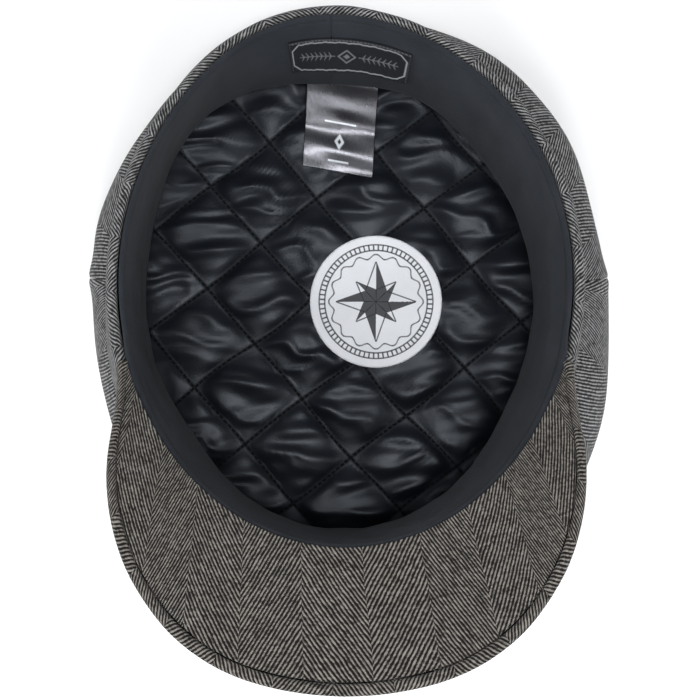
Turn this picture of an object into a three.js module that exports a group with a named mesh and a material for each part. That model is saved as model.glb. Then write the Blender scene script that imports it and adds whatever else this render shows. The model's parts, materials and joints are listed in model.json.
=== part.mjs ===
// A breton cap lying on its crown with the opening up: wool crown on a headband, a stiff
// visor at the front, a sweatband and a quilted lining inside, and three sewn-on labels.
// Millimetres, +Z up. The visor points along -Y, the back along +Y.
// The origin is the middle of the flat underside on which the cap lies.
import * as THREE from "three";

// Opening of the head
const OPENING_HALF_WIDTH = 82.6;
const OPENING_HALF_LENGTH = 103.6;
const OPENING_BACK_NARROWING = 0.05; // as a share of its width
const OPENING_BACK_DRIFT = 5; // of the back to the left
const OPENING_X = -1.6;
const OPENING_Y = 13.5;
const OPENING_HEIGHT = 83; // of its middle, above the surface
const OPENING_TILT = 18; // degrees, the visor side is the raised one

// Cloth and clearances
const CLEARANCE = 0.3;
const CROWN_CLOTH = 2.2;
const LINING_PADDING = 3;

// Headband
const HEADBAND_HEIGHT = 32;
const HEADBAND_CLOTH = 2.4;
const HEADBAND_FLARE = 5.5;
const HEADBAND_FLARE_TO_LEFT = 1;
const EDGE_ROLL_WIDTH = 4.2;
const EDGE_ROLL_HEIGHT = 5.5;

// Crown
const CROWN_HALF_WIDTH = 101.4;
const CROWN_BACK_LENGTH = 113.5; // from its widest part to the back
const CROWN_FRONT_LENGTH = 121; // from its widest part to the front
const CROWN_X = -1.2;
const CROWN_Y = 5;
const CROWN_BACK_SQUARENESS = 2.12; // exponent of its oval, 2 is an ellipse
const CROWN_FRONT_SQUARENESS = 2.3;
const CROWN_END_DRIFT = 5; // of its front and back to the right
const CROWN_DRIFT_Y = 31; // where it drifts least
const CROWN_DRIFT_SPAN = 45;
const GIRTH_SHARE = 0.47; // height of the widest line as a share of the wall's height
const UNDER_CURVE = 27; // width of the curve between the widest line and the flat underside
const TIP_SEAM_ANGLE = 28; // degrees below the widest line
const SEAM_GAP_SHARE = 1.6; // the tip's seam is this much wider than the clearance
const SIDE_SEAM_ANGLE = 3; // degrees behind the widest part
const SIDE_SEAM_PUCKER = 1.5;
const SIDE_SEAM_PUCKER_SPAN = 3; // degrees round the crown

// Sweatband
const SWEATBAND_WIDTH = 37;
const SWEATBAND_LEATHER = 1.2;
const SWEATBAND_LEAN = 11.5; // degrees inwards
const SWEATBAND_LEAN_TO_RIGHT = 2.5;
const SWEATBAND_LEAN_AT_ENDS = 9;
const SWEATBAND_LIP = 2;

// Lining
const LINING_TOP_DEPTH = 23; // below the rim

// Visor
const VISOR_CORNER_ANGLE = 20.8; // degrees in front of the sides
const VISOR_CORNER_WIDTH = 4;
const VISOR_X = -1.2;
const VISOR_REACH = 46.5;
const VISOR_TIP_RISE = 23.5;
const VISOR_BODY = 2.6;
const VISOR_EDGE_THICKNESS = 4.4;
const VISOR_EDGE_WIDTH = 4.2;
const VISOR_FACING = 1.3;
const VISOR_FACING_START = 0.05; // share of the way round at which the facing begins

// Badge and labels
const BADGE_DIAMETER = 54;
const BADGE_THICKNESS = 1;
const BADGE_X = 10.6;
const BADGE_Y = 3.2;
const WOVEN_LABEL_WIDTH = 52;
const WOVEN_LABEL_HEIGHT = 17;
const WOVEN_LABEL_DEPTH = 11; // of its upper edge, down the sweatband
const WOVEN_LABEL_ANGLE = 85.5; // degrees from the right side towards the back
const WOVEN_LABEL_CLOTH = 0.8;
const SIZE_LABEL_WIDTH = 28.4;
const SIZE_LABEL_LENGTH = 36;
const SIZE_LABEL_CLOTH = 0.8;
const SIZE_LABEL_X = -3;
const SIZE_LABEL_LEAN = 3.5; // degrees, of its long edges
const SIZE_LABEL_SLANT = 9.9; // degrees, of its short edges
const SIZE_LABEL_TUCK = 2.2; // hidden under the sweatband

// How finely curves are divided
const ROUND_STEPS = 64;
const ARC_STEPS = 5;
const VISOR_STEPS = 36;
const LABEL_STEPS = 12;

// Where the sweatband leans less than elsewhere, or more: the place in degrees from the right
// side towards the back, how many degrees less, and how wide the place is in degrees.
const SWEATBAND_PLACES = [
  { angle: 132, less: 18, span: 28 },
  { angle: 62, less: 8, span: 18 },
  { angle: 218, less: -4, span: 16 },
  { angle: 335, less: -4.5, span: 20 },
];

// The visor's outer edge from its corner to its tip, as shares: of the way forward, of the
// opening's half width and of the rise from the corner to the tip.
const VISOR_EDGE = [
  { forward: 0.14, outward: 0.988, rise: 0.25 },
  { forward: 0.33, outward: 1.0, rise: 0.56 },
  { forward: 0.5, outward: 0.961, rise: 0.75 },
  { forward: 0.655, outward: 0.875, rise: 0.85 },
  { forward: 0.83, outward: 0.687, rise: 0.955 },
  { forward: 0.946, outward: 0.424, rise: 1.0 },
];

// The size label's way down: from the sweatband's edge to the lining's floor.
const SIZE_LABEL_FALL = [
  { along: 0.0, drop: 0.0 },
  { along: 0.12, drop: 0.3 },
  { along: 0.3, drop: 0.68 },
  { along: 0.5, drop: 0.92 },
  { along: 0.7, drop: 1.0 },
  { along: 1.0, drop: 1.0 },
];

const WOOL = { color: 0x54514d, roughness: 0.95, metalness: 0 };
const BLACK_COTTON = { color: 0x2a2c30, roughness: 0.9, metalness: 0 };
const BLACK_SATIN = { color: 0x17191d, roughness: 0.35, metalness: 0 };
const WHITE_CLOTH = { color: 0xe5e8ef, roughness: 0.7, metalness: 0 };

const radians = THREE.MathUtils.degToRad;
const lerp = THREE.MathUtils.lerp;
const HALF_PI = Math.PI / 2;
const FRONT = 3 * HALF_PI;

// The frame of the rim's plane: across is +X, back points to the back and down, and out
// leaves the opening.
const tilt = radians(OPENING_TILT);
const back = new THREE.Vector3(0, Math.cos(tilt), -Math.sin(tilt));
const out = new THREE.Vector3(0, Math.sin(tilt), Math.cos(tilt));
const rimMiddle = new THREE.Vector3(OPENING_X, OPENING_Y, OPENING_HEIGHT);

// A point of the opening's oval, at an angle counted from the right towards the back.
function rimPoint(angle) {
  const s = Math.sin(angle);
  const behind = Math.max(0, s);
  const halfWidth = OPENING_HALF_WIDTH * (1 - OPENING_BACK_NARROWING * behind ** 2);
  const across = halfWidth * Math.cos(angle) - OPENING_BACK_DRIFT * behind ** 4;
  const point = rimMiddle.clone().addScaledVector(back, OPENING_HALF_LENGTH * s);
  return point.add(new THREE.Vector3(across, 0, 0));
}

// The oval's normal in the rim's plane, pointing away from the opening.
function rimNormal(angle) {
  const step = 0.001;
  const tangent = rimPoint(angle + step).sub(rimPoint(angle - step)).normalize();
  return tangent.cross(out);
}

// A point near the rim: outward from the oval and down from the rim's plane.
function nearRim(angle, outward, depth) {
  const point = rimPoint(angle);
  point.addScaledVector(rimNormal(angle), outward);
  return point.addScaledVector(out, -depth);
}

// A point of the headband, which flares from the rim to its lower edge.
function headbandPoint(angle, outward, depth) {
  const flare = HEADBAND_FLARE - HEADBAND_FLARE_TO_LEFT * Math.cos(angle);
  return nearRim(angle, outward + (flare * depth) / HEADBAND_HEIGHT, depth);
}

// The crown's oval in plan, drawn in by an inset; the seams at its sides stand a little proud.
const rightSeam = radians(SIDE_SEAM_ANGLE);
const leftSeam = Math.PI - rightSeam;
function crownOval(angle, inset) {
  const c = Math.cos(angle);
  const s = Math.sin(angle);
  const power = 2 / (s > 0 ? CROWN_BACK_SQUARENESS : CROWN_FRONT_SQUARENESS);
  const toSeam = (seam) => Math.asin(Math.sin((angle - seam) / 2)) * 2;
  const nearest = Math.min(...[rightSeam, leftSeam].map((seam) => Math.abs(toSeam(seam))));
  const spans = THREE.MathUtils.radToDeg(nearest) / SIDE_SEAM_PUCKER_SPAN;
  const pucker = SIDE_SEAM_PUCKER * Math.exp(-(spans ** 2));
  const halfWidth = CROWN_HALF_WIDTH - inset + pucker;
  const length = (s > 0 ? CROWN_BACK_LENGTH : CROWN_FRONT_LENGTH) - inset;
  const y = CROWN_Y + length * Math.sign(s) * Math.abs(s) ** power;
  const off = ((y - CROWN_DRIFT_Y) / CROWN_DRIFT_SPAN) ** 2;
  const drift = (CROWN_END_DRIFT * off) / (1 + off);
  return new THREE.Vector3(
    CROWN_X + drift + halfWidth * Math.sign(c) * Math.abs(c) ** power, y, 0,
  );
}

// The crown's section at one angle, an inset inside its outer face. It leaves the headband
// level, turns down to its widest line and under to the flat underside: two quarter ellipses.
// The turn runs from 90 degrees at the headband through 0 at the widest line to -90.
function crownPoint(angle, turn, inset) {
  const start = headbandPoint(angle, 0, HEADBAND_HEIGHT + CLEARANCE);
  const underBand = headbandPoint(angle, HEADBAND_CLOTH, HEADBAND_HEIGHT + CLEARANCE);
  const wallHeight = Math.min(start.z, underBand.z);
  const top = wallHeight - inset;
  const girthHeight = wallHeight * GIRTH_SHARE;
  const girth = crownOval(angle, inset);
  const flat = crownOval(angle, UNDER_CURVE);
  const from = turn > 0 ? start : flat;
  const end = turn > 0 ? top : inset;
  const reach = Math.cos(turn);
  return new THREE.Vector3(
    lerp(from.x, girth.x, reach),
    lerp(from.y, girth.y, reach),
    girthHeight + (end - girthHeight) * Math.abs(Math.sin(turn)),
  );
}

// A closed solid from rows of points of equal length, row after row. Each row is a closed
// loop. The rows close on themselves, or end in two caps that join the loop's first half to
// its second half run backwards.
function loopSolid(rows, closesOnItself) {
  const count = rows[0].length;
  const half = count / 2;
  const faces = [];
  const at = (row, i) => (row % rows.length) * count + (i % count);
  for (let r = 0; r < rows.length - (closesOnItself ? 0 : 1); r++) {
    for (let i = 0; i < count; i++) {
      faces.push([at(r, i), at(r + 1, i), at(r + 1, i + 1)]);
      faces.push([at(r, i), at(r + 1, i + 1), at(r, i + 1)]);
    }
  }
  if (!closesOnItself) {
    const last = rows.length - 1;
    for (let i = 0; i < half - 1; i++) {
      const far = count - 1 - i;
      faces.push([at(0, i), at(0, i + 1), at(0, far)]);
      faces.push([at(0, i + 1), at(0, far - 1), at(0, far)]);
      faces.push([at(last, i), at(last, far), at(last, i + 1)]);
      faces.push([at(last, i + 1), at(last, far), at(last, far - 1)]);
    }
  }
  return facingOut(rows.flat(), faces);
}

// A bowl with no hole in its floor: rings of points from its edge to its middle, outside and
// inside, each with one point in the middle.
function bowlSolid(outside, inside, outsideMiddle, insideMiddle) {
  const count = outside[0].length;
  const points = [...outside.flat(), ...inside.flat(), outsideMiddle, insideMiddle];
  const faces = [];
  const skin = (first, rings, middle, flip) => {
    const push = (a, b, c) => faces.push(flip ? [a, c, b] : [a, b, c]);
    for (let i = 0; i < count; i++) {
      const next = (i + 1) % count;
      for (let r = 0; r < rings - 1; r++) {
        const a = first + r * count;
        push(a + i, a + count + i, a + count + next);
        push(a + i, a + count + next, a + next);
      }
      const last = first + (rings - 1) * count;
      push(last + i, middle, last + next);
    }
  };
  const insideFirst = outside.length * count;
  skin(0, outside.length, points.length - 2, false);
  skin(insideFirst, inside.length, points.length - 1, true);
  for (let i = 0; i < count; i++) {
    const next = (i + 1) % count;
    faces.push([i, next, insideFirst + next], [i, insideFirst + next, insideFirst + i]);
  }
  return facingOut(points, faces);
}

// The geometry of a closed solid, with its faces turned to point outwards.
function facingOut(points, faces) {
  const volume = faces.reduce(
    (sum, [a, b, c]) => sum + points[a].dot(points[b].clone().cross(points[c])),
    0,
  );
  const turned = volume < 0 ? faces.map(([a, b, c]) => [a, c, b]) : faces;
  const geometry = new THREE.BufferGeometry().setFromPoints(points);
  geometry.setIndex(turned.flat());
  geometry.computeVertexNormals();
  return geometry;
}

// Values spread evenly from one to another, both included.
function spread(from, to, steps) {
  return Array.from({ length: steps + 1 }, (_, i) => lerp(from, to, i / steps));
}

// Angles all round the cap, as many behind its side seams as in front of them.
function anglesRound() {
  const behind = spread(rightSeam, leftSeam, ROUND_STEPS / 2).slice(1);
  const before = spread(leftSeam, rightSeam + 2 * Math.PI, ROUND_STEPS / 2).slice(1);
  return [...behind, ...before];
}

// The headband: a wall that flares downwards, with its rolled edge along the rim.
function headband() {
  const step = (EDGE_ROLL_WIDTH - HEADBAND_CLOTH) / 2;
  const section = [
    { outward: 0, depth: step },
    { outward: step, depth: 0 },
    { outward: EDGE_ROLL_WIDTH - step, depth: 0 },
    { outward: EDGE_ROLL_WIDTH, depth: step },
    { outward: EDGE_ROLL_WIDTH, depth: EDGE_ROLL_HEIGHT - 2 * step },
    { outward: HEADBAND_CLOTH, depth: EDGE_ROLL_HEIGHT },
    { outward: HEADBAND_CLOTH, depth: HEADBAND_HEIGHT },
    { outward: 0, depth: HEADBAND_HEIGHT },
  ];
  const rows = anglesRound().map((angle) =>
    section.map((row) => headbandPoint(angle, row.outward, row.depth)),
  );
  return loopSolid(rows, true);
}

// One of the crown's two side panels, which meet in a seam at each side.
function crownPanel(from, to) {
  const seam = CLEARANCE / 2 / CROWN_HALF_WIDTH;
  const down = [
    ...spread(HALF_PI, 0, ARC_STEPS),
    ...spread(0, -radians(TIP_SEAM_ANGLE), 2).slice(1),
  ];
  const rows = spread(from + seam, to - seam, ROUND_STEPS / 2).map((angle) => [
    ...down.map((turn) => crownPoint(angle, turn, 0)),
    ...down.toReversed().map((turn) => crownPoint(angle, turn, CROWN_CLOTH)),
  ]);
  return loopSolid(rows, false);
}

// The tip: the panel on which the cap lies, curved up at its edge to meet the side panels.
function crownTip() {
  const seam = (SEAM_GAP_SHARE * CLEARANCE) / UNDER_CURVE;
  const down = spread(-radians(TIP_SEAM_ANGLE) - seam, -HALF_PI, ARC_STEPS);
  const ring = (turn, inset) => anglesRound().map((angle) => crownPoint(angle, turn, inset));
  return bowlSolid(
    down.map((turn) => ring(turn, 0)),
    down.map((turn) => ring(turn, CROWN_CLOTH)),
    new THREE.Vector3(0, 0, 0),
    new THREE.Vector3(0, 0, CROWN_CLOTH),
  );
}

const liningOutside = CROWN_CLOTH + CLEARANCE;
const liningInside = liningOutside + LINING_PADDING;

// The quilted lining: a collar inside the headband, then a bowl that follows the crown.
function quiltedLining() {
  const down = [...spread(HALF_PI, 0, ARC_STEPS), ...spread(0, -HALF_PI, ARC_STEPS).slice(1)];
  const face = (inset, behindHeadband) => {
    const collar = [LINING_TOP_DEPTH, HEADBAND_HEIGHT].map((depth) =>
      anglesRound().map((angle) => headbandPoint(angle, -behindHeadband, depth)),
    );
    const bowl = down.map((turn) =>
      anglesRound().map((angle) => {
        const point = crownPoint(angle, turn, inset);
        const edge = rimNormal(angle).multiplyScalar(-behindHeadband * Math.max(0, Math.sin(turn)));
        return point.add(new THREE.Vector3(edge.x, edge.y, 0));
      }),
    );
    return [...collar, ...bowl];
  };
  return bowlSolid(
    face(liningOutside, CLEARANCE),
    face(liningInside, CLEARANCE + LINING_PADDING),
    new THREE.Vector3(0, 0, liningOutside),
    new THREE.Vector3(0, 0, liningInside),
  );
}

// How far round the front an angle is: 1 within the visor's corners, 0 well outside them.
function besideVisor(angle) {
  const fromFront = Math.abs(THREE.MathUtils.radToDeg(angle - FRONT));
  const nearest = Math.min(fromFront, 360 - fromFront);
  const corner = 90 - VISOR_CORNER_ANGLE;
  return 1 - THREE.MathUtils.smoothstep(nearest, corner, corner + 8);
}

// How many degrees less the sweatband leans at an angle: the sum of a bell at each place.
function sweatbandUpright(angle) {
  const turn = THREE.MathUtils.radToDeg(angle);
  return SWEATBAND_PLACES.reduce((sum, place) => {
    const away = THREE.MathUtils.euclideanModulo(turn - place.angle + 180, 360) - 180;
    return sum + place.less * Math.exp(-((away / place.span) ** 2));
  }, 0);
}

// How the sweatband leans into the opening: the way in and the way down for each millimetre.
function sweatbandLean(angle) {
  const lean = radians(
    SWEATBAND_LEAN +
      SWEATBAND_LEAN_TO_RIGHT * Math.cos(angle) +
      SWEATBAND_LEAN_AT_ENDS * Math.sin(angle) ** 2 -
      sweatbandUpright(angle),
  );
  return { inward: Math.sin(lean), down: Math.cos(lean) };
}

// A point of the sweatband: down the band from the rim, and into the opening from its back.
function sweatbandPoint(angle, along, into) {
  const lean = sweatbandLean(angle);
  const outward = -CLEARANCE - along * lean.inward - into * lean.down;
  return nearRim(angle, outward, along * lean.down - into * lean.inward);
}

// The sweatband: a thin band that leans into the opening from a thicker lip along the rim.
// Its lip rises beside the visor, whose thickness lies on the rim there.
function sweatband() {
  const visorRise = CLEARANCE + VISOR_BODY + CLEARANCE;
  const rows = anglesRound().map((angle) => {
    const rise = -visorRise * besideVisor(angle);
    return [
      nearRim(angle, -CLEARANCE, rise),
      sweatbandPoint(angle, SWEATBAND_LIP, 0),
      sweatbandPoint(angle, SWEATBAND_WIDTH / 2, 0),
      sweatbandPoint(angle, SWEATBAND_WIDTH, 0),
      sweatbandPoint(angle, SWEATBAND_WIDTH, SWEATBAND_LEATHER),
      sweatbandPoint(angle, SWEATBAND_WIDTH / 2, SWEATBAND_LEATHER),
      sweatbandPoint(angle, SWEATBAND_LIP * 2, SWEATBAND_LEATHER),
      nearRim(angle, -CLEARANCE - SWEATBAND_LEATHER, rise),
    ];
  });
  return loopSolid(rows, true);
}

// The visor's root on the rim, and its outer edge, both from the left corner to the right.
const leftCorner = Math.PI + radians(VISOR_CORNER_ANGLE);
const rightCorner = 2 * Math.PI - radians(VISOR_CORNER_ANGLE);
function visorRoot(share) {
  return nearRim(lerp(leftCorner, rightCorner, share), CLEARANCE, -CLEARANCE);
}
const visorEdge = (() => {
  const left = nearRim(leftCorner, VISOR_CORNER_WIDTH, -CLEARANCE);
  const right = nearRim(rightCorner, VISOR_CORNER_WIDTH, -CLEARANCE);
  const tip = nearRim(FRONT, 0, 0).add(new THREE.Vector3(0, -VISOR_REACH, VISOR_TIP_RISE));
  tip.x = VISOR_X;
  const halfOf = (side) =>
    VISOR_EDGE.map(({ forward, outward, rise }) => new THREE.Vector3(
      VISOR_X + side * OPENING_HALF_WIDTH * outward,
      lerp(left.y, tip.y, forward),
      lerp(left.z, tip.z, rise),
    ));
  const points = [left, ...halfOf(-1), tip, ...halfOf(1).toReversed(), right];
  return new THREE.CatmullRomCurve3(points, false, "centripetal");
})();

// A point at the visor's root, straight up from the rim beside the sweatband.
function visorRootPoint(share, height) {
  return visorRoot(share).addScaledVector(out, height);
}

// A point of the visor: a share of the way round, a distance back from its outer edge, and a
// height over its lower face.
function visorPoint(share, fromEdge, height) {
  const root = visorRoot(share);
  const edge = visorEdge.getPointAt(share);
  const step = 0.004;
  const middle = (s) => visorRoot(s).lerp(visorEdge.getPointAt(s), 0.5);
  const round = middle(Math.min(1, share + step)).sub(middle(Math.max(0, share - step)));
  const normal = round.cross(edge.clone().sub(root)).normalize();
  if (normal.z < 0) normal.negate();
  return edge.lerp(root, fromEdge / root.distanceTo(edge)).addScaledVector(normal, height);
}

// The visor's body: a stiff plate, thick and rounded along its rolled outer edge.
function visor() {
  const bevel = VISOR_EDGE_WIDTH / 4;
  const rows = spread(0, 1, VISOR_STEPS).map((share) => [
    visorRootPoint(share, 0),
    visorPoint(share, bevel, 0),
    visorPoint(share, 0, bevel),
    visorPoint(share, 0, VISOR_EDGE_THICKNESS - bevel),
    visorPoint(share, bevel, VISOR_EDGE_THICKNESS),
    visorPoint(share, VISOR_EDGE_WIDTH - bevel / 2, VISOR_EDGE_THICKNESS),
    visorPoint(share, VISOR_EDGE_WIDTH, VISOR_BODY),
    visorRootPoint(share, VISOR_BODY),
  ]);
  return loopSolid(rows, false);
}

// The cloth on the visor's inner side, within its rolled edge.
function visorFacing() {
  const low = VISOR_BODY + CLEARANCE;
  const high = low + VISOR_FACING;
  const fromEdge = VISOR_EDGE_WIDTH + CLEARANCE;
  const shares = spread(0, 1, VISOR_STEPS).filter(
    (share) => share > VISOR_FACING_START && share < 1 - VISOR_FACING_START,
  );
  const rows = shares.map((share) => [
    visorPoint(share, fromEdge, low),
    visorRootPoint(share, low),
    visorRootPoint(share, high),
    visorPoint(share, fromEdge, high),
  ]);
  return loopSolid(rows, false);
}

// The round badge, flat on the lining's floor.
function badge() {
  const disc = new THREE.CylinderGeometry(
    BADGE_DIAMETER / 2, BADGE_DIAMETER / 2, BADGE_THICKNESS, ROUND_STEPS / 2,
  );
  disc.rotateX(Math.PI / 2);
  disc.translate(BADGE_X, BADGE_Y, liningInside + CLEARANCE + BADGE_THICKNESS / 2);
  return disc;
}

// The woven label, curved with the sweatband at the back.
function wovenLabel() {
  const middle = radians(WOVEN_LABEL_ANGLE);
  const inwards = OPENING_HALF_WIDTH - sweatbandLean(middle).inward * WOVEN_LABEL_DEPTH;
  const span = WOVEN_LABEL_WIDTH / 2 / inwards;
  const near = SWEATBAND_LEATHER + 2 * CLEARANCE;
  const far = near + WOVEN_LABEL_CLOTH;
  const low = WOVEN_LABEL_DEPTH + WOVEN_LABEL_HEIGHT;
  const rows = spread(middle - span, middle + span, LABEL_STEPS).map((angle) => [
    sweatbandPoint(angle, WOVEN_LABEL_DEPTH, near),
    sweatbandPoint(angle, low, near),
    sweatbandPoint(angle, low, far),
    sweatbandPoint(angle, WOVEN_LABEL_DEPTH, far),
  ]);
  return loopSolid(rows, false);
}

// The size label: a ribbon that hangs from under the sweatband and lies on the lining.
function sizeLabel() {
  const edge = sweatbandPoint(Math.PI / 2, SWEATBAND_WIDTH, 0);
  const start = edge.z - CLEARANCE - SIZE_LABEL_CLOTH;
  const floor = liningInside + CLEARANCE;
  const strip = SIZE_LABEL_FALL.map(({ along, drop }) => ({
    y: edge.y + SIZE_LABEL_TUCK - along * SIZE_LABEL_LENGTH,
    z: lerp(start, floor, drop),
  }));
  const lean = Math.tan(radians(SIZE_LABEL_LEAN));
  const slant = Math.tan(radians(SIZE_LABEL_SLANT));
  const corners = [[-1, 0], [1, 0], [1, 1], [-1, 1]];
  const rows = strip.map(({ y, z }) =>
    corners.map(([side, face]) => {
      const across = (side * SIZE_LABEL_WIDTH) / 2;
      const x = SIZE_LABEL_X + across - (edge.y - y) * lean;
      return new THREE.Vector3(x, y - across * slant, z + face * SIZE_LABEL_CLOTH);
    }),
  );
  return loopSolid(rows, false);
}

function mesh(name, geometry, finish) {
  const made = new THREE.Mesh(geometry, new THREE.MeshStandardMaterial(finish));
  made.name = name;
  return made;
}

const cap = new THREE.Group();
cap.add(
  mesh("crown_tip", crownTip(), WOOL),
  mesh("crown_back_panel", crownPanel(rightSeam, leftSeam), WOOL),
  mesh("crown_front_panel", crownPanel(leftSeam, rightSeam + 2 * Math.PI), WOOL),
  mesh("headband", headband(), WOOL),
  mesh("visor", visor(), WOOL),
  mesh("visor_facing", visorFacing(), WOOL),
  mesh("sweatband", sweatband(), BLACK_COTTON),
  mesh("quilted_lining", quiltedLining(), BLACK_SATIN),
  mesh("badge", badge(), WHITE_CLOTH),
  mesh("woven_label", wovenLabel(), BLACK_SATIN),
  mesh("size_label", sizeLabel(), BLACK_SATIN),
);

export default cap;
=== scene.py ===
"""A breton cap that lies on its crown with the opening up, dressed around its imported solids.

Each class is one sewn part of the cap. It holds its sizes in millimetres, works its surfaces
out as numpy grids and dresses them. An angle round the opening is counted from the +X side: a
quarter turn is the back of the head, and three quarters the visor.
"""

from __future__ import annotations

import json
import logging
from dataclasses import dataclass, field
from enum import Enum

import bmesh
import bpy
import numpy as np
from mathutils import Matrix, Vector

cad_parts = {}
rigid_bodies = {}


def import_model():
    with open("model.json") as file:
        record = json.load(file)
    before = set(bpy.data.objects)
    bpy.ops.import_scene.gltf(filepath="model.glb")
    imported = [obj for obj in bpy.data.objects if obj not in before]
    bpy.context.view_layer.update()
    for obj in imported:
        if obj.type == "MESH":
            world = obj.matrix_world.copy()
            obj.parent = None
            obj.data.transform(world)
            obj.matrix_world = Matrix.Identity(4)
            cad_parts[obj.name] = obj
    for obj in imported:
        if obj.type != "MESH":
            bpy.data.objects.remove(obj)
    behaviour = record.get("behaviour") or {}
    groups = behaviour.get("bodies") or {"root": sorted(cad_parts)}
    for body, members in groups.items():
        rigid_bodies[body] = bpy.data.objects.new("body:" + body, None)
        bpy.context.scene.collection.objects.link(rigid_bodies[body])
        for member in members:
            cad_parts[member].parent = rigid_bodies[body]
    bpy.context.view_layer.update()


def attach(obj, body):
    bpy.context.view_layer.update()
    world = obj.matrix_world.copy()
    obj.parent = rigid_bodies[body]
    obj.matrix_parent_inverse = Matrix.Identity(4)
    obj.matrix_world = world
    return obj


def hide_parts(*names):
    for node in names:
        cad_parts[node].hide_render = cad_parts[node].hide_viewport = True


log = logging.getLogger("breton_cap")

# Metres in a millimetre, and the distance in metres within which points are welded
MM = 0.001
WELD = 0.000004
BODY = "root"
TURN = 2 * np.pi
QUARTER = np.pi / 2
FRONT = 3 * QUARTER

# Millimetres between two seam lines of the quilting
QUILT_CELL = 30.0

Colour = tuple[float, float, float]
Place = tuple[float, float, float]


class Held(Enum):
    """How a sheet of cloth is held."""

    HUNG = "hung"
    LAID = "laid"
    FOLDED = "folded"
    STRETCHED = "stretched"


class Slot(Enum):
    """The record's material slots."""

    WOOL = "wool_herringbone"
    COTTON = "black_cotton"
    SATIN = "black_satin"
    BADGE = "white_badge"
    WOVEN = "woven_label"
    RIBBON = "satin_ribbon"


# Small helpers on arrays


def unit(vectors: np.ndarray) -> np.ndarray:
    """Vectors along the last axis, at length one."""
    return vectors / np.maximum(np.linalg.norm(vectors, axis=-1, keepdims=True), 1e-12)


def blend(a: np.ndarray, b: np.ndarray, share: np.ndarray | float) -> np.ndarray:
    """From a to b by a share."""
    return a + (b - a) * share


def smooth_step(low: float, high: float, value: np.ndarray) -> np.ndarray:
    """Nought below low, one above high, and level at both ends."""
    share = np.clip((value - low) / (high - low), 0, 1)
    return share * share * (3 - 2 * share)


def bump(distance: np.ndarray, width: float) -> np.ndarray:
    """One at distance nought, falling away as a bell of that width."""
    return np.exp(-((distance / width) ** 2))


def dense_ends(count: int, push: float = 0.9) -> np.ndarray:
    """Shares from nought to one whose steps are finest at both ends."""
    share = np.linspace(0, 1, count)
    return share - push * np.sin(TURN * share) / TURN


def run_length(points: np.ndarray, axis: int) -> np.ndarray:
    """The length walked along one axis of a grid of points, from its first row.

    Args:
        points: a grid of points, with x, y and z on the last axis.
        axis: the axis that is walked along.

    Returns:
        One length for each point.
    """
    steps = np.linalg.norm(np.diff(points, axis=axis), axis=-1)
    first = np.zeros_like(np.take(steps, [0], axis=axis))
    return np.concatenate([first, np.cumsum(steps, axis=axis)], axis=axis)


def doubled(grid: np.ndarray, axis: int) -> np.ndarray:
    """A grid with one row more between each two, by a cubic through four rows.

    Args:
        grid: a grid of numbers or places.
        axis: the axis that gets the new rows.

    Returns:
        The grid with one less than twice as many rows.
    """
    rows = np.moveaxis(grid, axis, 0)
    padded = np.concatenate([2 * rows[:1] - rows[1:2], rows, 2 * rows[-1:] - rows[-2:-1]])
    between = (9 * (padded[1:-2] + padded[2:-1]) - padded[:-3] - padded[3:]) / 16
    made = np.empty((2 * len(rows) - 1, *rows.shape[1:]))
    made[::2], made[1::2] = rows, between
    return np.moveaxis(made, 0, axis)


def ripple(points: np.ndarray, wavelength: float, seed: int, stretch: float = 1.0) -> np.ndarray:
    """Smooth unevenness of about minus one to one: the sum of plane waves.

    Nine waves with seeded headings and phases, whose lengths lie around the one given, are
    added up and divided by the square root of nine.

    Args:
        points: places in millimetres, two or three numbers on the last axis.
        wavelength: the usual length of a wave in millimetres.
        seed: picks the headings, the lengths and the phases.
        stretch: how many times longer the waves are along X than across it.

    Returns:
        One height for each place.
    """
    draw = np.random.default_rng(seed)
    waves, shortest, longest = 9, 0.7, 1.5
    heading = unit(draw.normal(size=(waves, points.shape[-1])))
    heading[:, 0] /= stretch
    number = TURN / (wavelength * draw.uniform(shortest, longest, waves))
    phase = draw.uniform(0, TURN, waves)
    return np.cos(points @ (heading * number[:, None]).T + phase).sum(-1) / np.sqrt(waves)


def cell_noise(first: np.ndarray, second: np.ndarray, seed: float) -> np.ndarray:
    """A number from nought to one that is the same all over a cell.

    It is the fraction of a steep sine of the cell's counts and the seed.
    """
    first_rate, second_rate, seed_rate, steepness = 12.9898, 78.233, 37.719, 4375.85
    wave = np.sin(first * first_rate + second * second_rate + seed * seed_rate)
    return np.mod(wave * steepness, 1.0)


# Meshes from grids


def quads(rows: int, columns: int) -> np.ndarray:
    """The four corners of each face of a grid, as numbers of its points."""
    index = np.arange(rows * columns).reshape(rows, columns)
    corners = [index[:-1, :-1], index[1:, :-1], index[1:, 1:], index[:-1, 1:]]
    return np.stack(corners, -1).reshape(-1, 4)


def add_object(name: str, data: bpy.types.ID) -> bpy.types.Object:
    """Makes an object that holds the data and puts it in the scene."""
    made = bpy.data.objects.new(name, data)
    bpy.context.scene.collection.objects.link(made)
    return made


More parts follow.
